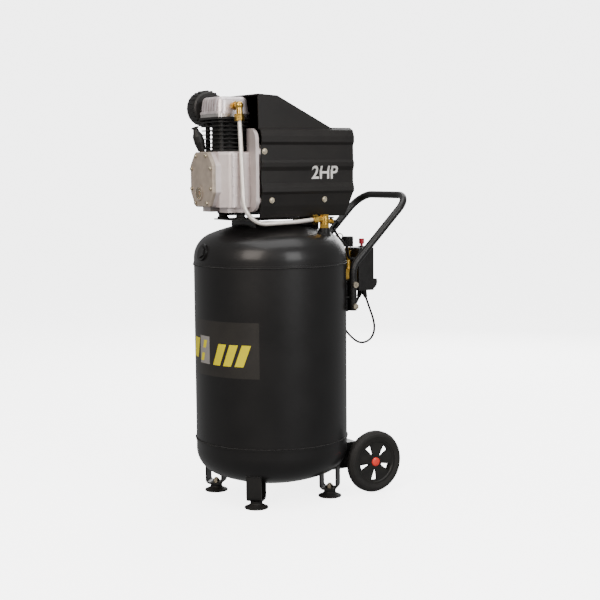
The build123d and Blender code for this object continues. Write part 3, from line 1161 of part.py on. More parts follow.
# ------------------------------------------------------------------ cords
def cord_tube(name, points, radius):
    """A free cord's tube, with its arcs and its volume printed."""
    radii = arc_radii(points)
    solid, path = pipe(points, radii, radius)
    ideal = math.pi * radius ** 2 * path.length
    print(f"{name}: length {path.length:.0f} mm, tightest arc {min(radii):.0f} mm, "
          f"volume {solid.volume / ideal:.3f} of section x length")
    return solid


def make_mains_coil():
    x, y = COIL_CENTRE
    ring = cyl_z(COIL_RADIUS + COIL_HALF_BUILD, 0.4, COIL_HEIGHT, x, y)
    ring -= cyl_z(COIL_RADIUS - COIL_HALF_BUILD, -1, COIL_HEIGHT + 1, x, y)
    return fillet(ring.edges(), 4.0)


def plug_plane():
    """The plug's frame: the cord enters at its origin and the pins point along its Z."""
    angle = math.radians(PLUG_SEAT)
    reach = COIL_RADIUS + COIL_HALF_BUILD - 1.0
    x = COIL_CENTRE[0] + reach * math.cos(angle)
    y = COIL_CENTRE[1] + reach * math.sin(angle)
    way = math.radians(PLUG_HEADING)
    return Plane(origin=(x, y, PLUG_RADIUS + 0.3), x_dir=(0, 0, 1), z_dir=(math.cos(way), math.sin(way), 0))


def make_mains_plug():
    r = PLUG_RADIUS
    body = turned(((0, 0), (6.0, 0), (7.5, 10), (r - 4.5, 20), (r, 23), (r, PLUG_LENGTH - 3),
                   (r - 2, PLUG_LENGTH), (0, PLUG_LENGTH)))
    for s in (-1, 1):
        body += cyl_z(2.4, PLUG_LENGTH - 1, PLUG_LENGTH + PIN_LENGTH, 0, s * 9.5)
    return plug_plane() * body


# ------------------------------------------------------------------ every node
def build_nodes():
    """Every sub-part as a list of solids, by node name, in the design frame."""
    rim, tyre, cap = wheel_parts()
    nodes = {
        "tank_shell": make_tank_shell(),
        "tank_top_dome": make_top_dome(),
        "tank_bottom_dome": make_bottom_dome(),
        "leg_straps": make_leg_straps(),
        "rubber_feet": make_rubber_feet(),
        "frame_bolts": make_frame_bolts(),
        "wheel_bracket": make_wheel_bracket(),
        "wheel_axle": make_wheel_axle(),
        "handle_lugs": make_handle_lugs(),
        "handle_tube": make_handle_tube(),
        "pump_platform": make_platform(),
        "rubber_mounts": make_rubber_mounts(),
        "crankcase": make_crankcase(),
        "crankcase_cover": make_crankcase_cover(),
        "sight_glass": make_sight_glass(),
        "machine_screws": make_machine_screws(),
        "breather_plug": make_breather_plug(),
        "cylinder_barrel": make_cylinder_barrel(),
        "valve_plate": make_valve_plate(),
        "cylinder_head": make_cylinder_head(),
        "air_filter": make_air_filter(),
        "crank_web": make_crank_web(),
        "connecting_rod": make_connecting_rod(),
        "piston": make_piston(),
        "motor_housing": make_motor_housing(),
        "stator_core": make_stator_core(),
        "motor_end_bell": make_end_bell(),
        "shaft_bearings": make_shaft_bearings(),
        "motor_shaft": make_motor_shaft(),
        "rotor_core": make_rotor_core(),
        "cooling_fan": make_cooling_fan(),
        "capacitor": make_capacitor(),
        "shroud_cover": make_shroud(),
        "delivery_pipe": make_delivery_pipe(),
        "delivery_elbow": make_delivery_elbow(),
        "check_valve": make_check_valve(),
        "unloader_tube": make_unloader_tube(),
        "manifold": make_manifold(),
        "safety_valve": make_safety_valve(),
        "safety_ring": make_safety_ring(),
        "pressure_gauge": make_gauge(),
        "gauge_needle": make_gauge_needle(),
        "regulator_knob": make_regulator_knob(),
        "outlet_coupler": make_outlet_coupler(),
        "coupler_sleeve": make_coupler_sleeve(),
        "switch_base": make_switch_base(),
        "switch_cover": make_switch_cover(),
        "switch_knob": make_switch_knob(),
        "drain_valve": make_drain_valve(),
        "drain_knob": make_drain_knob(),
        "motor_lead": cord_tube("motor_lead", LEAD_ROUTE, LEAD_RADIUS),
        "mains_cord": cord_tube("mains_cord", MAINS_ROUTE, CORD_RADIUS),
        "mains_coil": make_mains_coil(),
        "mains_plug": make_mains_plug(),
    }
    for side, word in ((-1, "near"), (1, "far")):
        nodes[f"wheel_rim_{word}"] = place_wheel(rim, side)
        nodes[f"wheel_tyre_{word}"] = place_wheel(tyre, side)
        nodes[f"hub_cap_{word}"] = place_wheel(cap, side)
    return nodes


CORD_NODES = ("motor_lead", "mains_cord", "mains_coil", "mains_plug")


def as_list(value):
    """Solids of a node, whether it came as one shape or as a list."""
    shapes = value if isinstance(value, list) else [value]
    return [solid for shape in shapes for solid in shape.solids()]


def origin_shift(nodes):
    """Move that puts the bottom centre of the machine's box, without its cords, at the origin."""
    solids = [s for name, value in nodes.items() if name not in CORD_NODES for s in as_list(value)]
    box = Compound(solids).bounding_box()
    return Vector(-(box.min.X + box.max.X) / 2, -(box.min.Y + box.max.Y) / 2, -box.min.Z)


def main():
    os.makedirs("parts", exist_ok=True)
    nodes = build_nodes()
    shift = origin_shift(nodes)
    print(f"origin shift: {shift.X:.4f} {shift.Y:.4f} {shift.Z:.4f}")
    for name, value in nodes.items():
        solids = [Pos(*shift) * solid for solid in as_list(value)]
        shape = solids[0] if len(solids) == 1 else Compound(children=solids)
        export_step(shape, f"parts/{name}.step")
    print(f"{len(nodes)} nodes written")


if __name__ == "__main__":
    main()
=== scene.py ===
# %% [markdown]
# # An upright workshop air compressor
#
# The real machine is a black welded tank on rubber feet and two wheels, with a cast
# piston pump, a hooded motor and a pressure switch. The fixed frame holds the true sizes and
# the moving bodies, so this lesson only dresses it: finishes, welds, screws, cords and labels.

# %% Load the fixed frame
import math

import bmesh
import bpy
from mathutils import Matrix, Vector


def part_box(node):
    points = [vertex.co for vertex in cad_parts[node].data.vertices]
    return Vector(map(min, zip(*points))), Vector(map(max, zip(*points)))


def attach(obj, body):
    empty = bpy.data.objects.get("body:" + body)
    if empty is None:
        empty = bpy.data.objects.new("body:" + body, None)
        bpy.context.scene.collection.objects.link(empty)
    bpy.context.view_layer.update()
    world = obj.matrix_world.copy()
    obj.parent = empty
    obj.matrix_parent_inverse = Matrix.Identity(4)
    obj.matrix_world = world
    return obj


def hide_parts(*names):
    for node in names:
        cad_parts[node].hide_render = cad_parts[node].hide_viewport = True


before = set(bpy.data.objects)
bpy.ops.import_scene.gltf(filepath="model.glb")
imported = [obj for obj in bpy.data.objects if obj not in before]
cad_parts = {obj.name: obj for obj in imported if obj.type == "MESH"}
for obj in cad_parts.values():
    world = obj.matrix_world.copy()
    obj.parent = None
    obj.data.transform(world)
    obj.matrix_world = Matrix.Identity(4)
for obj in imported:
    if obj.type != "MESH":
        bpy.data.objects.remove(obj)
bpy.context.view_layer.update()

MM = 0.001
bottom_low, bottom_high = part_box("tank_bottom_dome")
AXIS_X = (bottom_low.x + bottom_high.x) / 2

# %% [markdown]
# Drawings of the machine are measured from the tank's axis on the floor, in millimetres. One
# helper turns such a point into the frame's metres, so that every size below reads as it would
# on a workshop drawing.

# %% Drawing millimetres to frame metres
TANK_RADIUS = 175.0
SEAM_LOW, SEAM_HIGH = 139.7, 540.0


def at(x, y, z):
    """A drawing point, in millimetres from the tank's axis, in the frame's metres."""
    return Vector((x * MM + AXIS_X, y * MM, z * MM))


print("tank top seam", tuple(round(v, 4) for v in at(0, 0, SEAM_HIGH)))

# %% [markdown]
# The camera stands a little above the middle of the machine, turned thirty degrees to its left,
# with a long lens, so that upright lines stay almost parallel. A tiny roll stands the machine upright.

# %% Camera
CAMERA_AT = (-1483.8, -2605.0, 758.1)
CAMERA_TURN, CAMERA_DIP, CAMERA_ROLL = 30.97, 5.8, -0.5

turn, dip = math.radians(CAMERA_TURN), math.radians(CAMERA_DIP)
forward = Vector((math.sin(turn) * math.cos(dip), math.cos(turn) * math.cos(dip), -math.sin(dip)))
level = forward.cross(Vector((0, 0, 1))).normalized()
right = (Matrix.Rotation(math.radians(-CAMERA_ROLL), 3, forward) @ level).normalized()
upward = right.cross(forward).normalized()

camera_data = bpy.data.cameras.new("camera")
camera_data.lens = 78.33
camera_data.sensor_width = 36.0
camera_data.clip_end = 100.0
camera = bpy.data.objects.new("camera", camera_data)
bpy.context.collection.objects.link(camera)
rotation = Matrix((right, upward, -forward)).transposed().to_4x4()
camera.matrix_world = Matrix.Translation(at(*CAMERA_AT)) @ rotation
bpy.context.scene.camera = camera
print("camera at", tuple(round(v, 3) for v in camera.location))

# %% [markdown]
# A power cord is a fixed length of rubber that hangs under its own weight. Each one is a single
# NURBS spline through a few given points, which gives the smooth, slightly uneven line that a
# chain of arcs can't. Its order and end points are set last, because the spline forgets them
# while points are still being added.

# %% Cord curves
COLLECTION = bpy.context.collection


def cord_curve(name, points, diameter):
    """A round cord along given drawing points."""
    data = bpy.data.curves.new(name, "CURVE")
    data.dimensions = "3D"
    data.bevel_depth = 1.0      # times each point's own radius, so that the curve's box is true
    data.bevel_resolution = 5
    data.resolution_u = 8
    data.use_fill_caps = True
    spline = data.splines.new("NURBS")
    spline.points.add(len(points) - 1)
    for point, place in zip(spline.points, points):
        point.co = (*at(*place), 1.0)
        point.radius = diameter / 2 * MM
    spline.order_u = 3
    spline.use_endpoint_u = True
    curve = bpy.data.objects.new(name, data)
    COLLECTION.objects.link(curve)
    return curve


LEAD_POINTS = (
    (258.2, -10, 446.3), (268, -10, 421), (281, -9, 392), (286, -7, 364), (275, -4, 341),
    (248, -2, 334), (224, 2, 350), (204, 9, 378), (192, 22, 410), (185, 38, 442),
    (178, 56, 474), (172, 70, 512), (164, 80, 554), (148, 88, 596), (124, 92, 630),
    (98, 89, 654), (84, 84, 680))
MAINS_POINTS = (
    (248.8, 8, 446.3), (241, 10, 426), (223, 20, 413), (199, 42, 408), (179, 70, 399),
    (161, 99, 380), (146, 124, 348), (136, 143, 306), (128, 158, 258), (124, 168, 206),
    (124, 180, 154), (129, 198, 108), (136, 218, 68), (137, 234, 36), (124, 241, 14))
LEAD_DIAMETER, MAINS_DIAMETER = 5.2, 6.5

# %% [markdown]
# The rest of the mains cord is wound into a neat coil on the floor behind the tank. Its turns go
# inwards on the floor and outwards again on top, each a cord's width from the last, and belong
# to the same spline as the hanging stretch, because it is the same cord.

# %% Coil turns
COIL_CENTRE = (112.0, 197.0)
TURN_POINTS = 16
TURN_RADII = (42.4, 35.9, 29.4, 33.2, 39.6)
TURN_HEIGHTS = (4.2, 4.2, 4.2, 9.9, 9.9)
COIL_ENTRY, COIL_LEAVE = 100.0, 90.0
WALL_PULL = 1.013      # control points stand this much outside the line they draw


def coil_points():
    """Points for the wound turns, from the entry angle to the leaving angle."""
    points = []
    whole = len(TURN_RADII) * 360 + COIL_LEAVE - COIL_ENTRY
    count = round(whole / 360 * TURN_POINTS)
    for step in range(count + 1):
        progress = step / count * whole / 360
        now = min(int(progress), len(TURN_RADII) - 1)
        after = min(now + 1, len(TURN_RADII) - 1)
        blend = max(0.0, (progress - now - 0.75) / 0.25)
        blend = blend * blend * (3 - 2 * blend)
        radius = TURN_RADII[now] + (TURN_RADII[after] - TURN_RADII[now]) * blend
        height = TURN_HEIGHTS[now] + (TURN_HEIGHTS[after] - TURN_HEIGHTS[now]) * blend
        angle = math.radians(COIL_ENTRY + progress * 360)
        reach = radius * WALL_PULL
        points.append((COIL_CENTRE[0] + reach * math.cos(angle),
                       COIL_CENTRE[1] + reach * math.sin(angle), height))
    return points


turns = coil_points()
PLUG_TAIL = ((104.0, 234.0, 12.6), (97.0, 232.6, 15.2), (88.15, 235.16, 16.3), (85.0, 236.3, 16.3))
motor_lead = cord_curve("motor_lead_cord", LEAD_POINTS, LEAD_DIAMETER)
mains_cord = cord_curve("mains_power_cord", (*MAINS_POINTS, *turns, *PLUG_TAIL), MAINS_DIAMETER)
print("coil points", len(turns))

# %% [markdown]
# A soft strap holds the coil together. It is a rounded band lofted around the coil's own
# rectangular section, so it grips all the turns.

# %% Coil tie
TIE_ANGLE = math.radians(255)
TIE_WIDTH, TIE_THICK = 9.0, 0.8
TIE_HALF = (10.6, 5.9)
TIE_MIDDLE = (36.0, 7.05)
TIE_POINTS, TIE_CORNER = 32, 0.35


def mesh_object(name, verts, faces):
    """A mesh object at the origin from points in metres, with its faces turned outwards."""
    mesh = bpy.data.meshes.new(name)
    mesh.from_pydata([tuple(v) for v in verts], [], faces)
    thing = bmesh.new()
    thing.from_mesh(mesh)
    bmesh.ops.remove_doubles(thing, verts=thing.verts, dist=1e-7)
    bmesh.ops.recalc_face_normals(thing, faces=thing.faces)
    thing.to_mesh(mesh)
    thing.free()
    made = bpy.data.objects.new(name, mesh)
    COLLECTION.objects.link(made)
    return made


def tie_ring(offset, along):
    """One rounded-rectangle ring of the tie, offset outwards, at a place across its width."""
    ring = []
    centre = Vector((math.cos(TIE_ANGLE), math.sin(TIE_ANGLE), 0))
    side = Vector((-math.sin(TIE_ANGLE), math.cos(TIE_ANGLE), 0))
    for step in range(TIE_POINTS):
        a = step / TIE_POINTS * math.tau
        u = math.copysign(abs(math.cos(a)) ** TIE_CORNER, math.cos(a)) * (TIE_HALF[0] + offset)
        w = math.copysign(abs(math.sin(a)) ** TIE_CORNER, math.sin(a)) * (TIE_HALF[1] + offset)
        spot = centre * (TIE_MIDDLE[0] + u) + side * along
        ring.append(at(COIL_CENTRE[0] + spot.x, COIL_CENTRE[1] + spot.y, TIE_MIDDLE[1] + w))
    return ring


half = TIE_WIDTH / 2
rings = [tie_ring(0, -half), tie_ring(TIE_THICK, -half), tie_ring(TIE_THICK, half), tie_ring(0, half)]
tie_faces = []
for near in range(4):
    far = (near + 1) % 4
    for i in range(TIE_POINTS):
        j = (i + 1) % TIE_POINTS
        tie_faces.append([near * TIE_POINTS + i, near * TIE_POINTS + j, far * TIE_POINTS + j,
                          far * TIE_POINTS + i])
coil_tie = mesh_object("coil_tie", [v for ring in rings for v in ring], tie_faces)

for cord, nodes in ((motor_lead, ("motor_lead",)), (mains_cord, ("mains_cord", "mains_coil"))):
    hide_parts(*nodes)
    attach(cord, "tank")
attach(coil_tie, "tank")
print("cords declared")

# %% [markdown]
# Every finish below is a small node tree. Two helpers are enough: one turns an sRGB hex colour
# into the linear numbers that the shader wants, and one adds a node with its settings and links.

# %% Node helpers
def colour(code):
    """sRGB hex to linear RGBA."""
    parts = [int(code[i:i + 2], 16) / 255 for i in (1, 3, 5)]
    return (*[c / 12.92 if c <= 0.04045 else ((c + 0.055) / 1.055) ** 2.4 for c in parts], 1.0)


def add(tree, kind, inputs=None, **settings):
    """Add a node, set its properties, and set or link its inputs."""
    node = tree.nodes.new(kind)
    for key, value in settings.items():
        setattr(node, key, value)
    for key, value in (inputs or {}).items():
        if isinstance(value, bpy.types.NodeSocket):
            tree.links.new(value, node.inputs[key])
        else:
            node.inputs[key].default_value = value
    return node


def per_metre(size_mm):
    """Texture scale that makes one feature of this size."""
    return 1000.0 / size_mm


print("black paint is", [round(c, 4) for c in colour("#1f1d1d")])

# %% [markdown]
# All the hard finishes share one recipe, because real ones do too: a base colour that drifts a
# little over centimetres, a roughness that drifts with it, and a fine relief from how the surface
# was made. What differs is the numbers, which each material states with the size of its grain.

# %% The finish recipe
FINISHES = {}


def finish(name, dark, light, patch, rough, grain, relief, metal=0.0, coat=0.0, coat_rough=0.1,
           wear=None, stretch=(1, 1, 1), spec=0.5):
    """A procedural finish. Sizes are in mm: patch for colour drift, grain and relief for bumps."""
    material = bpy.data.materials.new(name)
    material.use_nodes = True
    tree = material.node_tree
    tree.nodes.clear()
    place = add(tree, "ShaderNodeTexCoord").outputs["Object"]
    drift = add(tree, "ShaderNodeTexNoise", {"Vector": place, "Scale": per_metre(patch),
                                             "Detail": 4.0, "Roughness": 0.55})
    tone = add(tree, "ShaderNodeMapRange", {"Value": drift.outputs["Fac"], "From Min": 0.3,
                                            "From Max": 0.7})
    mix = add(tree, "ShaderNodeMix", {"Factor": tone.outputs["Result"], 6: colour(dark),
                                      7: colour(light)}, data_type="RGBA")
    base = mix.outputs[2]
    gloss = add(tree, "ShaderNodeMapRange", {"Value": drift.outputs["Fac"], "From Min": 0.25,
                                             "From Max": 0.75, "To Min": rough[0],
                                             "To Max": rough[1]})
    squeeze = add(tree, "ShaderNodeMapping", {"Vector": place, "Scale": stretch})
    fine = add(tree, "ShaderNodeTexNoise", {"Vector": squeeze.outputs["Vector"],
                                            "Scale": per_metre(grain), "Detail": 3.0,
                                            "Roughness": 0.6})
    if wear:
        specks = add(tree, "ShaderNodeMapRange", {"Value": fine.outputs["Fac"],
                                                  "From Min": wear[1], "From Max": wear[1] + 0.08})
        worn = add(tree, "ShaderNodeMix", {"Factor": specks.outputs["Result"], 6: base,
                                           7: colour(wear[0])}, data_type="RGBA")
        base = worn.outputs[2]
    bump = add(tree, "ShaderNodeBump", {"Height": fine.outputs["Fac"], "Distance": relief * MM,
                                        "Strength": 0.6})
    shader = add(tree, "ShaderNodeBsdfPrincipled",
                 {"Base Color": base, "Roughness": gloss.outputs["Result"], "Metallic": metal,
                  "Coat Weight": coat, "Coat Roughness": coat_rough, "Specular IOR Level": spec,
                  "Normal": bump.outputs["Normal"]})
    add(tree, "ShaderNodeOutputMaterial", {"Surface": shader.outputs["BSDF"]})
    FINISHES[name] = material
    return material


def dress(material, *things):
    """Give CAD nodes, by name, or new pieces this finish."""
    for thing in things:
        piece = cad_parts[thing] if isinstance(thing, str) else thing
        piece.data.materials.clear()
        piece.data.materials.append(material)


# %% [markdown]
# The tank wears black powder coat: baked plastic powder that flows into a gloss with a faint
# orange peel, about 3 mm from crest to crest. The brackets and the handle have the same coat
# sprayed thinner, so they look a little duller.

# %% Powder coats
tank_coat = finish("powder_coated_steel_gloss_black", "#0d0c0c", "#121111", 90, (0.34, 0.42),
                   3.0, 0.05, coat=0.12, coat_rough=0.14, spec=0.26)
frame_coat = finish("powder_coated_steel_satin_black", "#0e0d0c", "#141312", 40, (0.36, 0.46),
                    2.0, 0.06, spec=0.34)
dress(tank_coat, "tank_shell", "tank_top_dome", "tank_bottom_dome")
dress(frame_coat, "leg_straps", "wheel_bracket", "handle_lugs", "handle_tube", "pump_platform")
print("coats", len(FINISHES))

# %% [markdown]
# The pump is die-cast and sand-cast alloy. Castings come out of the mould with a skin like fine
# sandpaper, about 1 mm across here so that it shows, and the cooling fins are cast iron under
# black stove paint, which is rougher still.

# %% Castings
cast_alloy = finish("sand_cast_aluminium", "#bdb2b0", "#cac1bf", 30, (0.40, 0.50), 1.1, 0.16,
                    metal=0.6, wear=("#a1979a", 0.68))
head_alloy = finish("die_cast_aluminium", "#bdb4b4", "#dad2d4", 18, (0.32, 0.46), 1.4, 0.12, metal=0.7)
cover_alloy = finish("painted_cast_cover_taupe", "#8f8478", "#a3978a", 16, (0.38, 0.52), 1.1, 0.16,
                     metal=0.35)
fin_iron = finish("stove_painted_cast_iron", "#0e0d0c", "#191817", 12, (0.48, 0.66), 1.2, 0.22, spec=0.3)
plate_alloy = finish("milled_aluminium_plate", "#b9b4b0", "#cdc8c4", 20, (0.26, 0.36), 0.8, 0.05,
                     metal=1.0, stretch=(1, 8, 1))
drawn_alloy = finish("drawn_aluminium_tube", "#d8d2ca", "#ebe5de", 22, (0.30, 0.40), 0.9, 0.03,
                     metal=0.55, stretch=(1, 1, 0.15))
dress(cast_alloy, "crankcase", "motor_housing", "motor_end_bell", "connecting_rod", "piston")
dress(head_alloy, "cylinder_head")
dress(cover_alloy, "crankcase_cover")
dress(fin_iron, "cylinder_barrel")
dress(plate_alloy, "valve_plate")
dress(drawn_alloy, "delivery_pipe")
print("castings and tube", len(FINISHES))

# %% [markdown]
# Small metal parts are turned from bar. Brass keeps a warm yellow with darker tarnish in
# patches; zinc plate has a grey-yellow bloom; ground steel is plain and bright.

# %% Turned and plated metal
brass = finish("turned_brass", "#b58a32", "#d8b25a", 9, (0.20, 0.36), 0.8, 0.03, metal=1.0,
               wear=("#8a6526", 0.68))
zinc = finish("zinc_plated_steel", "#a39a88", "#c9bfa9", 7, (0.26, 0.42), 0.9, 0.03, metal=0.95)
ground_steel = finish("ground_steel", "#8d8d8f", "#ababad", 15, (0.22, 0.34), 0.7, 0.02, metal=1.0)
lamination = finish("laminated_core_steel", "#55524f", "#6e6a66", 10, (0.4, 0.55), 0.5, 0.12,
                    metal=0.8, stretch=(14, 1, 1))
plated_case = finish("chrome_plated_case", "#c4c4c6", "#d9d9db", 20, (0.08, 0.16), 1.0, 0.01, metal=1.0)
dress(brass, "delivery_elbow", "check_valve", "manifold", "safety_valve", "outlet_coupler",
      "drain_valve")
dress(zinc, "frame_bolts", "machine_screws", "safety_ring", "coupler_sleeve")
dress(ground_steel, "wheel_axle", "crank_web", "shaft_bearings", "motor_shaft")
dress(lamination, "stator_core", "rotor_core")
dress(plated_case, "pressure_gauge")
print("metals", len(FINISHES))

# %% [markdown]
# Plastics and rubbers hardly reflect. A moulded cover has a spark-eroded texture of half a
# millimetre, drawn at 0.9 mm so that it shows; rubber is softer, with a dusty bloom in its
# hollows; a cord's jacket is smooth, with a slight sheen.

# %% Plastics and rubbers
hood_plastic = finish("moulded_abs_matt_black", "#110f0e", "#171513", 60, (0.44, 0.54), 0.9, 0.05,
                      spec=0.26)
black_plastic = finish("glass_filled_nylon_black", "#100f0e", "#171615", 20, (0.42, 0.56), 0.9, 0.06,
                       spec=0.3)
red_plastic = finish("moulded_abs_crimson", "#9c0f22", "#b5152c", 8, (0.26, 0.36), 0.8, 0.03, coat=0.3)
cap_plastic = finish("moulded_abs_signal_red", "#d42a20", "#ea3a2c", 8, (0.28, 0.38), 0.8, 0.03,
                     coat=0.2)
wheel_plastic = finish("moulded_polypropylene_black", "#121110", "#1a1917", 16, (0.40, 0.54), 0.9, 0.06,
                       spec=0.3)
soft_rubber = finish("moulded_rubber_black", "#100f0e", "#191816", 12, (0.60, 0.76), 1.1, 0.08,
                     wear=("#3a3835", 0.70), spec=0.3)
tyre_rubber = finish("solid_tyre_rubber", "#151413", "#1f1e1c", 18, (0.62, 0.78), 1.0, 0.10,
                     wear=("#45423e", 0.72), spec=0.3)
jacket = finish("rubber_cord_jacket", "#0f0e0e", "#161514", 10, (0.44, 0.56), 0.9, 0.03, spec=0.4)
dress(hood_plastic, "shroud_cover")
dress(black_plastic, "breather_plug", "air_filter", "cooling_fan", "capacitor", "regulator_knob",
      "switch_base", "switch_cover", "drain_knob", "unloader_tube", "gauge_needle", coil_tie)
dress(red_plastic, "switch_knob")
dress(cap_plastic, "hub_cap_near", "hub_cap_far")
dress(wheel_plastic, "wheel_rim_near", "wheel_rim_far")
dress(soft_rubber, "rubber_feet", "rubber_mounts")
dress(tyre_rubber, "wheel_tyre_near", "wheel_tyre_far")
dress(jacket, "mains_plug", motor_lead, mains_cord)
print("plastics and rubbers", len(FINISHES))

# %% [markdown]
# The oil window is a clear acrylic lens in front of brown oil. The lens is clear, and a disc of
# oil with a red level dot sits just behind it.

# %% Oil window
lens = bpy.data.materials.new("clear_acrylic_lens")
lens.use_nodes = True
lens.node_tree.nodes.clear()
lens_shader = add(lens.node_tree, "ShaderNodeBsdfPrincipled",
                  {"Base Color": colour("#f2e3c4"), "Roughness": 0.04, "IOR": 1.49,
                   "Transmission Weight": 0.92})
add(lens.node_tree, "ShaderNodeOutputMaterial", {"Surface": lens_shader.outputs["BSDF"]})
dress(lens, "sight_glass")

oil = finish("pump_oil_brown", "#4a2a0c", "#6d4318", 6, (0.10, 0.18), 2.0, 0.01, coat=0.6)
level_dot = finish("level_dot_red", "#a01814", "#b8241c", 6, (0.4, 0.5), 1.0, 0.02)
print("window", lens.name)


def disc_x(name, centre, radius, thick, sides=48):
    """A flat round plate facing -X, with a small rounded edge."""
    outline = ((0, 0), (radius - 0.3, 0), (radius, 0.3), (radius, thick), (0, thick))
    verts, faces = [], []
    for r, depth in outline:
        for step in range(sides):
            a = step / sides * math.tau
            x = centre[0] + depth
            verts.append(at(x, centre[1] + r * math.cos(a), centre[2] + r * math.sin(a)))
    for ring in range(len(outline) - 1):
        for step in range(sides):
            after = (step + 1) % sides
            faces.append((ring * sides + step, ring * sides + after,
                          (ring + 1) * sides + after, (ring + 1) * sides + step))
    return mesh_object(name, verts, faces)


GLASS_BACK, GLASS_Y, GLASS_Z = -169.0, 10.0, 703.0
DOT_THICK = 0.34
oil_disc = disc_x("oil_behind_window", (GLASS_BACK, GLASS_Y, GLASS_Z), 12.6, 1.0)
dot = disc_x("oil_level_dot", (GLASS_BACK - 0.35, GLASS_Y, GLASS_Z), 3.0, DOT_THICK)
for piece, material in ((oil_disc, oil), (dot, level_dot)):
    dress(material, piece)
    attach(piece, "tank")
print("oil disc and dot made")

# %% [markdown]
# Weld beads, screw heads, dial ticks and gland ribs all repeat along something. Geometry Nodes
# suit them: one tree per kind, with its sizes as named inputs. Two helpers build such a tree's
# ends and turn the finished result into a plain mesh, because instances are lost on export.

# %% Geometry Nodes helpers
def new_tree(name, sizes):
    """A geometry tree with a geometry input, named float inputs and a material input."""
    tree = bpy.data.node_groups.new(name, "GeometryNodeTree")
    face = tree.interface
    face.new_socket("Geometry", in_out="INPUT", socket_type="NodeSocketGeometry")
    for size, kind in sizes.items():
        face.new_socket(size, in_out="INPUT", socket_type=kind)
    face.new_socket("Material", in_out="INPUT", socket_type="NodeSocketMaterial")
    face.new_socket("Geometry", in_out="OUTPUT", socket_type="NodeSocketGeometry")
    return tree, add(tree, "NodeGroupInput").outputs


def close_tree(tree, given, geometry):
    """Realize the instances, shade them, give them their material and send them out."""
    real = add(tree, "GeometryNodeRealizeInstances", {"Geometry": geometry})
    smooth = add(tree, "GeometryNodeSetShadeSmooth", {"Geometry": real.outputs["Geometry"]})
    painted = add(tree, "GeometryNodeSetMaterial", {"Geometry": smooth.outputs["Geometry"],
                                                    "Material": given["Material"]})
    add(tree, "NodeGroupOutput", {"Geometry": painted.outputs["Geometry"]})


def grow(base, tree, values, name):
    """Run a tree on a base object and keep its result as a plain mesh piece."""
    modifier = base.modifiers.new("grow", "NODES")
    modifier.node_group = tree
    for item in tree.interface.items_tree:
        if item.in_out == "INPUT" and item.name in values:
            modifier[item.identifier] = values[item.name]
    base.update_tag()
    bpy.context.view_layer.update()
    evaluated = base.evaluated_get(bpy.context.evaluated_depsgraph_get())
    mesh = bpy.data.meshes.new_from_object(evaluated)
    bpy.data.objects.remove(base)
    mesh.name = name
    piece = bpy.data.objects.new(name, mesh)
    COLLECTION.objects.link(piece)
    print(name, "faces", len(mesh.polygons))
    return piece


# %% [markdown]
# The tank's heads, legs, bosses and brackets are arc-welded on. A weld is a row of overlapping
# ripples, one every couple of millimetres. The paths below are the real joints: rings round the
# seams, and the lines where plates stand on the curved heads.

# %% Shapes of the tank's heads
HEAD_RISE, KNUCKLE, SKIRT_HIGH, SKIRT_LOW = 82.0, 59.5, 14.0, 24.0
REACH = TANK_RADIUS - KNUCKLE
DISH = (REACH ** 2 + HEAD_RISE ** 2 - KNUCKLE ** 2) / (2 * (HEAD_RISE - KNUCKLE))


def head_rise(distance):
    """How far the head stands over its skirt, at a distance from the tank's axis."""
    edge = DISH * REACH / (DISH - KNUCKLE)
    if distance < edge:
        return HEAD_RISE - DISH + math.sqrt(DISH ** 2 - distance ** 2)
    return math.sqrt(max(0.0, KNUCKLE ** 2 - (distance - REACH) ** 2))


def on_top(x, y):
    return at(x, y, SEAM_HIGH + SKIRT_HIGH + head_rise(math.hypot(x, y)))


def on_bottom(x, y):
    return at(x, y, SEAM_LOW - SKIRT_LOW - head_rise(math.hypot(x, y)))


print("dish radius", round(DISH, 1))

# %% Weld paths
LEG_CIRCLE, LEG_HALF_DEPTH, LEG_HALF_WIDTH = 137.5, 21.0, 17.5
LUG_FACES, LUG_HEIGHTS = (91.0, 94.4), (431, 453, 475, 496)
SEAM_BEAD_RADIUS = 175.9
INLET_X, INLET_Y, INLET_RING = 80, -109, 13.4      # each boss ring is the boss plus its bead
PORT_Z, PORT_RING = 505, 15.6
DRAIN_X, DRAIN_Y, DRAIN_RING = 18, 103, 12.4
PLATFORM_EDGES = (-70.6, -66.4, 95.4, 99.6)
paths = []


def ring_path(place, count=72):
    paths.append([place(i / count * math.tau) for i in range(count + 1)])


for seam in (SEAM_LOW, SEAM_HIGH):
    ring_path(lambda a, z=seam: at(SEAM_BEAD_RADIUS * math.cos(a), SEAM_BEAD_RADIUS * math.sin(a), z), 240)
ring_path(lambda a: on_top(INLET_X + INLET_RING * math.cos(a), INLET_Y + INLET_RING * math.sin(a)))
ring_path(lambda a: at(math.sqrt(TANK_RADIUS ** 2 - (PORT_RING * math.cos(a)) ** 2) + 0.2,
                       PORT_RING * math.cos(a), PORT_Z + PORT_RING * math.sin(a)))
ring_path(lambda a: on_bottom(DRAIN_X + DRAIN_RING * math.cos(a), DRAIN_Y + DRAIN_RING * math.sin(a)))
for turned in (45, 135, 225, 315):
    c, s = math.cos(math.radians(turned)), math.sin(math.radians(turned))
    for side in (-1, 1):
        out = LEG_CIRCLE + side * (LEG_HALF_DEPTH + 0.6)
        paths.append([on_bottom(out * c - w * s, out * s + w * c)
                      for w in [LEG_HALF_WIDTH * (k / 6 - 1) for k in range(13)]])
for side in (-1, 1):
    for face in LUG_FACES:
        x = math.sqrt(TANK_RADIUS ** 2 - face ** 2) + 0.6
        paths.append([at(x, side * face, z) for z in LUG_HEIGHTS])
for x in PLATFORM_EDGES:
    paths.append([on_top(x, y) for y in range(-53, 54, 9)])
print("weld paths", len(paths))

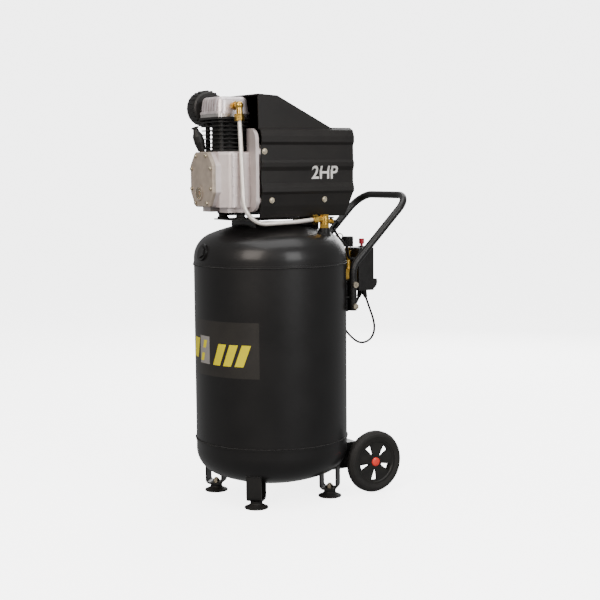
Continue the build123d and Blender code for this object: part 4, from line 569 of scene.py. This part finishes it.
# %% Weld ripples
weld_tree, given = new_tree("weld_ripples", {"Ripple spacing": "NodeSocketFloat",
                                             "Bead radius": "NodeSocketFloat"})
line = add(weld_tree, "GeometryNodeMeshToCurve", {"Mesh": given["Geometry"]})
even = add(weld_tree, "GeometryNodeResampleCurve",
           {"Curve": line.outputs["Curve"], "Length": given["Ripple spacing"]}, mode="LENGTH")
tangent = add(weld_tree, "GeometryNodeInputTangent")
facing = add(weld_tree, "FunctionNodeAlignRotationToVector", {"Vector": tangent.outputs["Tangent"]},
             axis="X")
ripple = add(weld_tree, "GeometryNodeMeshIcoSphere", {"Radius": given["Bead radius"],
                                                     "Subdivisions": 2})
vary = add(weld_tree, "FunctionNodeRandomValue", {2: 0.88, 3: 1.12, "Seed": 7}, data_type="FLOAT")
beads = add(weld_tree, "GeometryNodeInstanceOnPoints",
            {"Points": even.outputs["Curve"], "Instance": ripple.outputs["Mesh"],
             "Rotation": facing.outputs["Rotation"], "Scale": vary.outputs[1]})
close_tree(weld_tree, given, beads.outputs["Instances"])

verts = [p for path in paths for p in path]
edges, start = [], 0
for path in paths:
    edges += [(start + i, start + i + 1) for i in range(len(path) - 1)]
    start += len(path)
path_mesh = bpy.data.meshes.new("weld_paths")
path_mesh.from_pydata([tuple(v) for v in verts], edges, [])
path_object = bpy.data.objects.new("weld_paths", path_mesh)
COLLECTION.objects.link(path_object)
welds = grow(path_object, weld_tree, {"Ripple spacing": 2.4 * MM, "Bead radius": 1.55 * MM,
                                      "Material": tank_coat}, "weld_beads")
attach(welds, "tank")

# %% [markdown]
# Three kinds of screw hold the pump and its hood: socket caps on the case cover, hexagon heads
# sunk in the cylinder head, and broad pan heads with a washer on the hood. Each head is modelled
# once, with its recess, and a tree copies it to every hole and turns it a little at random, as a
# fitter leaves them.

# %% One head of each kind
def recess_reach(corners, radius, angle):
    """How far a recess reaches from its middle: a cross slot if it has four corners, else a polygon."""
    if corners == 4:
        return radius * (1.0 if abs(math.cos(2 * angle)) > 0.7 else 0.34)
    part = math.tau / corners
    return radius / math.cos((angle % part) - part / 2)


def lathe_head(name, outline, sides, recess=None):
    """A closed head turned about Z from (radius, height) in mm; recess is (corners, radius, depth)."""
    angles = [i / sides * math.tau for i in range(sides)]
    rings = [[(r, z) for _ in angles] for r, z in outline]
    if recess:
        corners, radius, depth = recess
        top = outline[-1][1]
        for z in (top, top - depth):
            rings.append([(recess_reach(corners, radius, a), z) for a in angles])
    verts = [Vector((r * math.cos(a), r * math.sin(a), z)) * MM
             for ring in rings for a, (r, z) in zip(angles, ring)]
    faces = []
    for ring in range(len(rings) - 1):
        for i in range(sides):
            j = (i + 1) % sides
            faces.append((ring * sides + i, ring * sides + j, (ring + 1) * sides + j,
                          (ring + 1) * sides + i))
    faces.append(tuple(range(sides))[::-1])
    last = (len(rings) - 1) * sides
    faces.append(tuple(last + i for i in range(sides)))
    print(name, "rings", len(rings), "faces", len(faces))
    return mesh_object(name, verts, faces)


socket_head = lathe_head("socket_head", ((0.5, 0), (4.2, 0), (4.2, 3.1), (3.8, 3.6)), 24, (6, 1.8, 1.9))
hex_head = lathe_head("hex_head", ((0.5, 0), (6.6, 0), (6.6, 0.9), (5.6, 0.9), (5.6, 4.2),
                                   (4.9, 4.9)), 6)
pan_head = lathe_head("pan_head", ((0.5, 0), (6.5, 0), (6.5, 0.7), (4.6, 0.7), (4.5, 1.7),
                                   (3.6, 2.5)), 24, (4, 1.9, 1.1))

# %% Screw tree
screw_tree, given = new_tree("set_of_screws", {"Head": "NodeSocketObject",
                                               "Spin seed": "NodeSocketInt"})
holes = add(screw_tree, "GeometryNodeMeshToPoints", {"Mesh": given["Geometry"]})
way = add(screw_tree, "GeometryNodeInputNamedAttribute", {"Name": "facing"}, data_type="FLOAT_VECTOR")
stand = add(screw_tree, "FunctionNodeAlignRotationToVector", {"Vector": way.outputs["Attribute"]},
            axis="Z")
spin = add(screw_tree, "FunctionNodeRandomValue", {2: 0.0, 3: 6.28, "Seed": given["Spin seed"]},
           data_type="FLOAT")
about = add(screw_tree, "FunctionNodeAxisAngleToRotation", {"Axis": (0, 0, 1),
                                                            "Angle": spin.outputs[1]})
turned_head = add(screw_tree, "FunctionNodeRotateRotation",
                  {"Rotation": stand.outputs["Rotation"], "Rotate By": about.outputs["Rotation"]},
                  rotation_space="LOCAL")
one = add(screw_tree, "GeometryNodeObjectInfo", {"Object": given["Head"]})
placed = add(screw_tree, "GeometryNodeInstanceOnPoints",
             {"Points": holes.outputs["Points"], "Instance": one.outputs["Geometry"],
              "Rotation": turned_head.outputs["Rotation"]})
close_tree(screw_tree, given, placed.outputs["Instances"])


def set_screws(name, head, holes_at, seed):
    """Heads at ((x, y, z), (direction)) pairs, as one mesh."""
    mesh = bpy.data.meshes.new(name + "_holes")
    mesh.from_pydata([tuple(at(*p)) for p, _ in holes_at], [], [])
    attribute = mesh.attributes.new("facing", "FLOAT_VECTOR", "POINT")
    for item, (_, direction) in zip(attribute.data, holes_at):
        item.vector = direction
    base = bpy.data.objects.new(name + "_holes", mesh)
    COLLECTION.objects.link(base)
    made = grow(base, screw_tree, {"Head": head, "Spin seed": seed, "Material": zinc}, name)
    for face in made.data.polygons:
        face.use_smooth = False
    bpy.data.objects.remove(head)
    return made


COVER_FACE, HEAD_SEAT = -173.0, 908.0
cover_holes = [((COVER_FACE, y, z), (-1, 0, 0)) for y, z in (
    (-24, 785), (24, 785), (-46, 757), (46, 757), (-46, 713), (46, 713), (-28, 681), (28, 681))]
head_holes = [((-112 + sx * 26, sy * 33, HEAD_SEAT), (0, 0, 1)) for sx in (-1, 1) for sy in (-1, 1)]
hood_holes = [((x, side * y, z), (0, side, 0)) for x, y, z in (
    (-71.6, 107.4, 793.7), (-53.9, 106.1, 686.5), (82.8, 106.1, 686.5)) for side in (-1, 1)]
screw_sets = [set_screws("case_cover_screws", socket_head, cover_holes, 3),
              set_screws("cylinder_head_bolts", hex_head, head_holes, 5),
              set_screws("hood_screws", pan_head, hood_holes, 9)]
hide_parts("machine_screws")
for piece in screw_sets:
    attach(piece, "tank")

# %% [markdown]
# A cable gland has ribs so that the rubber bends evenly. Each is a small ring, and the rings
# shrink towards the cord, which a tree can follow from the first radius to the last.

# %% Gland ribs
rib_tree, given = new_tree("shrinking_ribs", {"Rib count": "NodeSocketInt", "Reach": "NodeSocketFloat",
                                              "First radius": "NodeSocketFloat",
                                              "Last radius": "NodeSocketFloat"})
stops = add(rib_tree, "GeometryNodePoints", {"Count": given["Rib count"]})
index = add(rib_tree, "GeometryNodeInputIndex")
span = add(rib_tree, "ShaderNodeMath", {0: given["Rib count"], 1: 1.0}, operation="SUBTRACT")
share = add(rib_tree, "ShaderNodeMath", {0: index.outputs["Index"], 1: span.outputs[0]},
            operation="DIVIDE")
down = add(rib_tree, "ShaderNodeMath", {0: share.outputs[0], 1: given["Reach"]},
           operation="MULTIPLY")
below = add(rib_tree, "ShaderNodeMath", {0: down.outputs[0], 1: -1.0}, operation="MULTIPLY")
spot = add(rib_tree, "ShaderNodeCombineXYZ", {"Z": below.outputs[0]})
strung = add(rib_tree, "GeometryNodeSetPosition", {"Geometry": stops.outputs["Points"],
                                                   "Position": spot.outputs["Vector"]})
size = add(rib_tree, "ShaderNodeMapRange", {"Value": share.outputs[0],
                                            "To Min": given["First radius"],
                                            "To Max": given["Last radius"]})
circle = add(rib_tree, "GeometryNodeCurvePrimitiveCircle", {"Radius": 1.0, "Resolution": 28})
hoops = add(rib_tree, "GeometryNodeInstanceOnPoints",
            {"Points": strung.outputs["Geometry"], "Instance": circle.outputs["Curve"],
             "Scale": size.outputs["Result"]})
loose = add(rib_tree, "GeometryNodeRealizeInstances", {"Geometry": hoops.outputs["Instances"]})
wire = add(rib_tree, "GeometryNodeCurvePrimitiveCircle", {"Radius": 0.75 * MM, "Resolution": 8})
rubber_hoops = add(rib_tree, "GeometryNodeCurveToMesh", {"Curve": loose.outputs["Geometry"],
                                                         "Profile Curve": wire.outputs["Curve"]})
close_tree(rib_tree, given, rubber_hoops.outputs["Mesh"])


def gland_ribs(name, root, tilt, first, last):
    """Ribs down one gland, from its root, leaning by tilt degrees towards +X."""
    base = mesh_object(name + "_start", [(0, 0, 0)], [])
    ribs = grow(base, rib_tree, {"Rib count": 5, "Reach": 11.5 * MM, "First radius": first * MM,
                                 "Last radius": last * MM, "Material": soft_rubber}, name)
    lean = Matrix.Rotation(math.radians(tilt), 4, "Y")
    ribs.data.transform(Matrix.Translation(at(*root)) @ lean @ Matrix.Translation((0, 0, -6 * MM)))
    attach(ribs, "tank")


gland_ribs("motor_lead_gland_ribs", (251, -10, 465), -21, 6.2, 4.2)
gland_ribs("mains_gland_ribs", (256, 8, 465), 21, 6.3, 4.9)

# %% [markdown]
# The gauge has a white dial with a scale over three quarters of a turn. The ticks are one tree,
# long at each number and short between, and the numbers are plain text turned into mesh. A thin
# clear lens closes it.

# %% Dial ticks
DIAL_X, DIAL_Y, DIAL_Z, DIAL_RADIUS = 215.2, 54.0, 548.0, 17.6
SCALE_START, SCALE_END = 225, -45      # degrees, from the dial's right-hand side
TICK_RADIUS, NUMBER_RADIUS = 16.6, 10.8
DIAL_WORDS = ("0", "2", "4", "6", "8", "10", "12")
dial_white = finish("printed_dial_white", "#efede8", "#f6f4f0", 8, (0.35, 0.45), 1.0, 0.01)
ink = finish("printed_ink_black", "#101010", "#161616", 8, (0.4, 0.5), 1.0, 0.01)
tick_tree, given = new_tree("dial_ticks", {"Tick count": "NodeSocketInt", "Outer radius": "NodeSocketFloat",
                                           "Tick length": "NodeSocketFloat",
                                           "Tick width": "NodeSocketFloat"})
marks = add(tick_tree, "GeometryNodePoints", {"Count": given["Tick count"]})
number = add(tick_tree, "GeometryNodeInputIndex")
gaps = add(tick_tree, "ShaderNodeMath", {0: given["Tick count"], 1: 1.0}, operation="SUBTRACT")
part = add(tick_tree, "ShaderNodeMath", {0: number.outputs["Index"], 1: gaps.outputs[0]},
           operation="DIVIDE")
angle = add(tick_tree, "ShaderNodeMapRange", {"Value": part.outputs[0],
                                              "To Min": math.radians(SCALE_START),
                                              "To Max": math.radians(SCALE_END)})
centre_line = add(tick_tree, "ShaderNodeMath", {0: given["Tick length"], 1: -0.5},
                  operation="MULTIPLY")
middle = add(tick_tree, "ShaderNodeMath", {0: given["Outer radius"], 1: centre_line.outputs[0]},
             operation="ADD")
push = add(tick_tree, "ShaderNodeCombineXYZ", {"Y": middle.outputs[0]})
axis = add(tick_tree, "ShaderNodeVectorRotate", {"Vector": push.outputs["Vector"],
                                                 "Angle": angle.outputs["Result"]},
           rotation_type="X_AXIS")
set_out = add(tick_tree, "GeometryNodeSetPosition", {"Geometry": marks.outputs["Points"],
                                                     "Position": axis.outputs["Vector"]})
bar_size = add(tick_tree, "ShaderNodeCombineXYZ", {"X": 0.12 * MM, "Y": given["Tick length"],
                                                   "Z": given["Tick width"]})
bar = add(tick_tree, "GeometryNodeMeshCube", {"Size": bar_size.outputs["Vector"]})
lean_by = add(tick_tree, "FunctionNodeAxisAngleToRotation", {"Axis": (1, 0, 0),
                                                             "Angle": angle.outputs["Result"]})
ticks = add(tick_tree, "GeometryNodeInstanceOnPoints",
            {"Points": set_out.outputs["Geometry"], "Instance": bar.outputs["Mesh"],
             "Rotation": lean_by.outputs["Rotation"]})
close_tree(tick_tree, given, ticks.outputs["Instances"])

for name, count, length, width in (("dial_long_ticks", 7, 3.0, 0.55), ("dial_short_ticks", 31, 1.6, 0.3)):
    base = mesh_object(name + "_start", [(0, 0, 0)], [])
    piece = grow(base, tick_tree, {"Tick count": count, "Outer radius": TICK_RADIUS * MM,
                                   "Tick length": length * MM, "Tick width": width * MM,
                                   "Material": ink}, name)
    piece.data.transform(Matrix.Translation(at(DIAL_X + 0.25, DIAL_Y, DIAL_Z)))
    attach(piece, "tank")

# %% Dial face, numbers and lens
def facing_disc(name, x0, x1, radius, material):
    """A closed round plate on the gauge's axis, from x0 to x1."""
    piece = disc_x(name, (x0, DIAL_Y, DIAL_Z), radius, x1 - x0)
    dress(material, piece)
    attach(piece, "tank")


def text_mesh(words, height, depth, bold):
    """A word as a thin solid mesh in its own XY plane, centred, in metres."""
    data = bpy.data.curves.new("words", "FONT")
    data.body = words
    data.size = height * MM
    data.offset = bold * MM
    data.extrude = depth / 2 * MM
    data.align_x, data.align_y = "CENTER", "CENTER"
    data.resolution_u = 4
    holder = bpy.data.objects.new("words", data)
    COLLECTION.objects.link(holder)
    bpy.context.view_layer.update()
    evaluated = holder.evaluated_get(bpy.context.evaluated_depsgraph_get())
    mesh = bpy.data.meshes.new_from_object(evaluated)
    bpy.data.objects.remove(holder)
    return mesh


facing_disc("dial_face", DIAL_X - 0.2, DIAL_X + 0.2, DIAL_RADIUS, dial_white)
numbers = bmesh.new()
face_out = Matrix(((0, 0, 1, 0), (1, 0, 0, 0), (0, 1, 0, 0), (0, 0, 0, 1)))
for step, words in enumerate(DIAL_WORDS):
    a = math.radians(SCALE_START + (SCALE_END - SCALE_START) * step / (len(DIAL_WORDS) - 1))
    digit = text_mesh(words, 4.2, 0.12, bold=0.03)
    place = at(DIAL_X + 0.3, DIAL_Y + NUMBER_RADIUS * math.cos(a),
               DIAL_Z + NUMBER_RADIUS * math.sin(a))
    digit.transform(Matrix.Translation(place) @ face_out)
    numbers.from_mesh(digit)
    bpy.data.meshes.remove(digit)
number_mesh = bpy.data.meshes.new("dial_numbers")
numbers.to_mesh(number_mesh)
numbers.free()
dial_numbers = bpy.data.objects.new("dial_numbers", number_mesh)
COLLECTION.objects.link(dial_numbers)
dress(ink, dial_numbers)
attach(dial_numbers, "tank")
facing_disc("gauge_lens", 219.1, 219.9, 17.7, lens)
print("gauge dressed")

# %% [markdown]
# The rating is pad-printed on the hood in silver ink, upright and bold. The hood's side is
# pressed in steps, so the printed film is cut where the steps begin and laid onto them.

# %% Rating on the hood
HOOD_STEPS = ((705.0, 111.0), (714.0, 110.5), (724.0, 106.5), (751.0, 106.5), (760.0, 110.5), (769.0, 111.0))
silver_ink = finish("pad_printed_silver_ink", "#c9c7c4", "#dedcd9", 12, (0.36, 0.46), 0.8, 0.01,
                    metal=0.15)


def hood_half(z):
    """Half the hood's width at a height, between its steps."""
    for (z0, w0), (z1, w1) in zip(HOOD_STEPS, HOOD_STEPS[1:]):
        if z0 <= z <= z1:
            return w0 + (w1 - w0) * (z - z0) / (z1 - z0)
    return HOOD_STEPS[-1][1]


RATING_AT = (83.0, 745.0)
FILM_GAP = 0.12
rating = text_mesh("2HP", 40.0, 0.1, bold=0.7)
lettering = bmesh.new()
lettering.from_mesh(rating)
lift = Matrix(((1, 0, 0, 0), (0, 0, -1, 0), (0, 1, 0, 0), (0, 0, 0, 1)))
bmesh.ops.transform(lettering, matrix=lift, verts=lettering.verts)
bmesh.ops.translate(lettering, vec=at(RATING_AT[0], 0, RATING_AT[1]), verts=lettering.verts)
for z, _ in HOOD_STEPS:
    bmesh.ops.bisect_plane(lettering, geom=lettering.verts[:] + lettering.edges[:] + lettering.faces[:],
                           plane_co=(0, 0, z * MM), plane_no=(0, 0, 1))
for vert in lettering.verts:
    vert.co.y -= (hood_half(vert.co.z / MM) + FILM_GAP) * MM
bmesh.ops.remove_doubles(lettering, verts=lettering.verts, dist=1e-6)
lettering.to_mesh(rating)
lettering.free()
rating_piece = bpy.data.objects.new("hood_rating_print", rating)
COLLECTION.objects.link(rating_piece)
dress(silver_ink, rating_piece)
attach(rating_piece, "tank")
print("rating width mm", round(rating_piece.dimensions.x / MM, 1))

# %% [markdown]
# The tank's label is a slate film with a band of slanting stripes. Each shape is a thin closed
# sheet bent to the drum, described by its four corners as angle round the tank and height.

# %% Label shapes
label_film = finish("vinyl_label_film_slate", "#1f1d1b", "#262421", 60, (0.36, 0.44), 1.2, 0.01, spec=0.3)
label_yellow = finish("vinyl_print_yellow", "#c8bb00", "#d0c400", 60, (0.40, 0.46), 1.2, 0.01, spec=0.25)
label_grey = finish("vinyl_print_grey", "#7b7875", "#86837f", 60, (0.38, 0.46), 1.2, 0.01, spec=0.3)


def drum_sheet(name, corners, lift_mm, material, columns=24, thick=0.12):
    """A thin sheet on the drum; corners are (angle, z) for lower left, lower right, upper right,
    upper left, as seen from outside."""
    verts, faces = [], []
    for radius in (TANK_RADIUS + lift_mm, TANK_RADIUS + lift_mm + thick):
        for row in (0, 1):
            left, right_ = (corners[0], corners[1]) if row == 0 else (corners[3], corners[2])
            for step in range(columns + 1):
                share_ = step / columns
                a = math.radians(left[0] + (right_[0] - left[0]) * share_)
                z = left[1] + (right_[1] - left[1]) * share_
                verts.append(at(radius * math.cos(a), radius * math.sin(a), z))
    n = columns + 1
    for layer in (0, 2 * n):
        for i in range(columns):
            faces.append((layer + i, layer + i + 1, layer + n + i + 1, layer + n + i))
    for row in (0, n):
        for i in range(columns):
            faces.append((row + i, row + i + 1, 2 * n + row + i + 1, 2 * n + row + i))
    for i in (0, columns):
        faces.append((i, n + i, 3 * n + i, 2 * n + i))
    piece = mesh_object(name, verts, faces)
    dress(material, piece)
    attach(piece, "tank")


drum_sheet("label_film", ((166, 297), (232, 297), (232, 421), (166, 421)), 0.05, label_film, 48)
drum_sheet("label_grey_block", ((176, 323), (189, 323), (189, 385), (176, 385)), 0.2, label_grey)
STRIPES = (((160, 333), (171, 333), (175, 378), (164, 378)),
           ((177, 329), (181, 329), (186, 376), (182, 376)),
           ((193, 323), (200, 323), (206, 371), (199, 371)),
           ((203, 323), (210, 323), (216, 371), (209, 371)),
           ((213, 323), (220, 323), (226, 371), (219, 371)))
for count, corners in enumerate(STRIPES):
    drum_sheet(f"label_stripe_{count + 1}", corners, 0.36, label_yellow)
print("label shapes", len(STRIPES) + 2)

# %% [markdown]
# A product stands on a pale floor, inside a big pale dome, under soft boxes. Black gloss shows
# whatever is around it, so the floor and the dome glow for the eye alone: reflections pass through
# them and find a dim room with the soft boxes in it, which keeps the black coat black.

# %% Floor and lights
FLOOR_GLOW, DOME_GLOW = 4.2, 4.6
DOME_RADIUS_M, FLOOR_SIZE_M = 11.5, 24.0


def floor_plane(size_m):
    half_size = size_m / 2
    corners = [(-half_size, -half_size, 0), (half_size, -half_size, 0),
               (half_size, half_size, 0), (-half_size, half_size, 0)]
    return mesh_object("studio_floor", corners, [(0, 1, 2, 3)])


floor = floor_plane(FLOOR_SIZE_M)
floor_paint = finish("matt_studio_floor_white", "#f0f0f0", "#f4f4f4", 900, (0.8, 0.9), 40, 0.01, spec=0.2)
glow = next(n for n in floor_paint.node_tree.nodes if n.type == "BSDF_PRINCIPLED")
glow.inputs["Emission Color"].default_value = colour("#ffffff")
glow.inputs["Emission Strength"].default_value = FLOOR_GLOW
dress(floor_paint, floor)
ball = bmesh.new()
bmesh.ops.create_uvsphere(ball, u_segments=48, v_segments=24, radius=DOME_RADIUS_M)
dome_mesh = bpy.data.meshes.new("studio_dome")
ball.to_mesh(dome_mesh)
ball.free()
dome = bpy.data.objects.new("studio_dome", dome_mesh)
COLLECTION.objects.link(dome)
dome_light = bpy.data.materials.new("lit_backdrop_white")
dome_light.use_nodes = True
dome_light.node_tree.nodes.clear()
lamp = add(dome_light.node_tree, "ShaderNodeEmission", {"Color": colour("#ffffff"), "Strength": DOME_GLOW})
add(dome_light.node_tree, "ShaderNodeOutputMaterial", {"Surface": lamp.outputs["Emission"]})
dress(dome_light, dome)
for backdrop in (floor, dome):
    backdrop.visible_glossy = False
    backdrop.visible_diffuse = False
    backdrop.visible_transmission = False
dome.visible_shadow = False


def soft_light(name, place, aim, size, watts, tint="#ffffff"):
    """A square soft box at one drawing point, aimed at another."""
    data = bpy.data.lights.new(name, "AREA")
    data.shape = "RECTANGLE"
    data.size, data.size_y = size
    data.energy = watts
    data.color = colour(tint)[:3]
    light = bpy.data.objects.new(name, data)
    COLLECTION.objects.link(light)
    away = at(*place) - at(*aim)
    light.matrix_world = Matrix.Translation(at(*place)) @ away.to_track_quat("Z", "Y").to_matrix().to_4x4()


soft_light("key_soft_box", (-2300, -1500, 1900), (0, 0, 550), (1.4, 2.0), 90, "#fff4ea")
soft_light("front_soft_box", (300, -3000, 1500), (0, 0, 600), (1.2, 1.8), 60)
soft_light("top_soft_box", (0, -300, 3200), (0, 0, 600), (2.6, 2.6), 90)
soft_light("back_soft_box", (1900, 1700, 1600), (0, 0, 600), (1.6, 2.0), 60)

sky = bpy.data.worlds.new("studio")
bpy.context.scene.world = sky
sky.use_nodes = True
sky.node_tree.nodes.clear()
background = add(sky.node_tree, "ShaderNodeBackground", {"Color": colour("#ffffff"), "Strength": 0.42})
add(sky.node_tree, "ShaderNodeOutputWorld", {"Surface": background.outputs["Background"]})
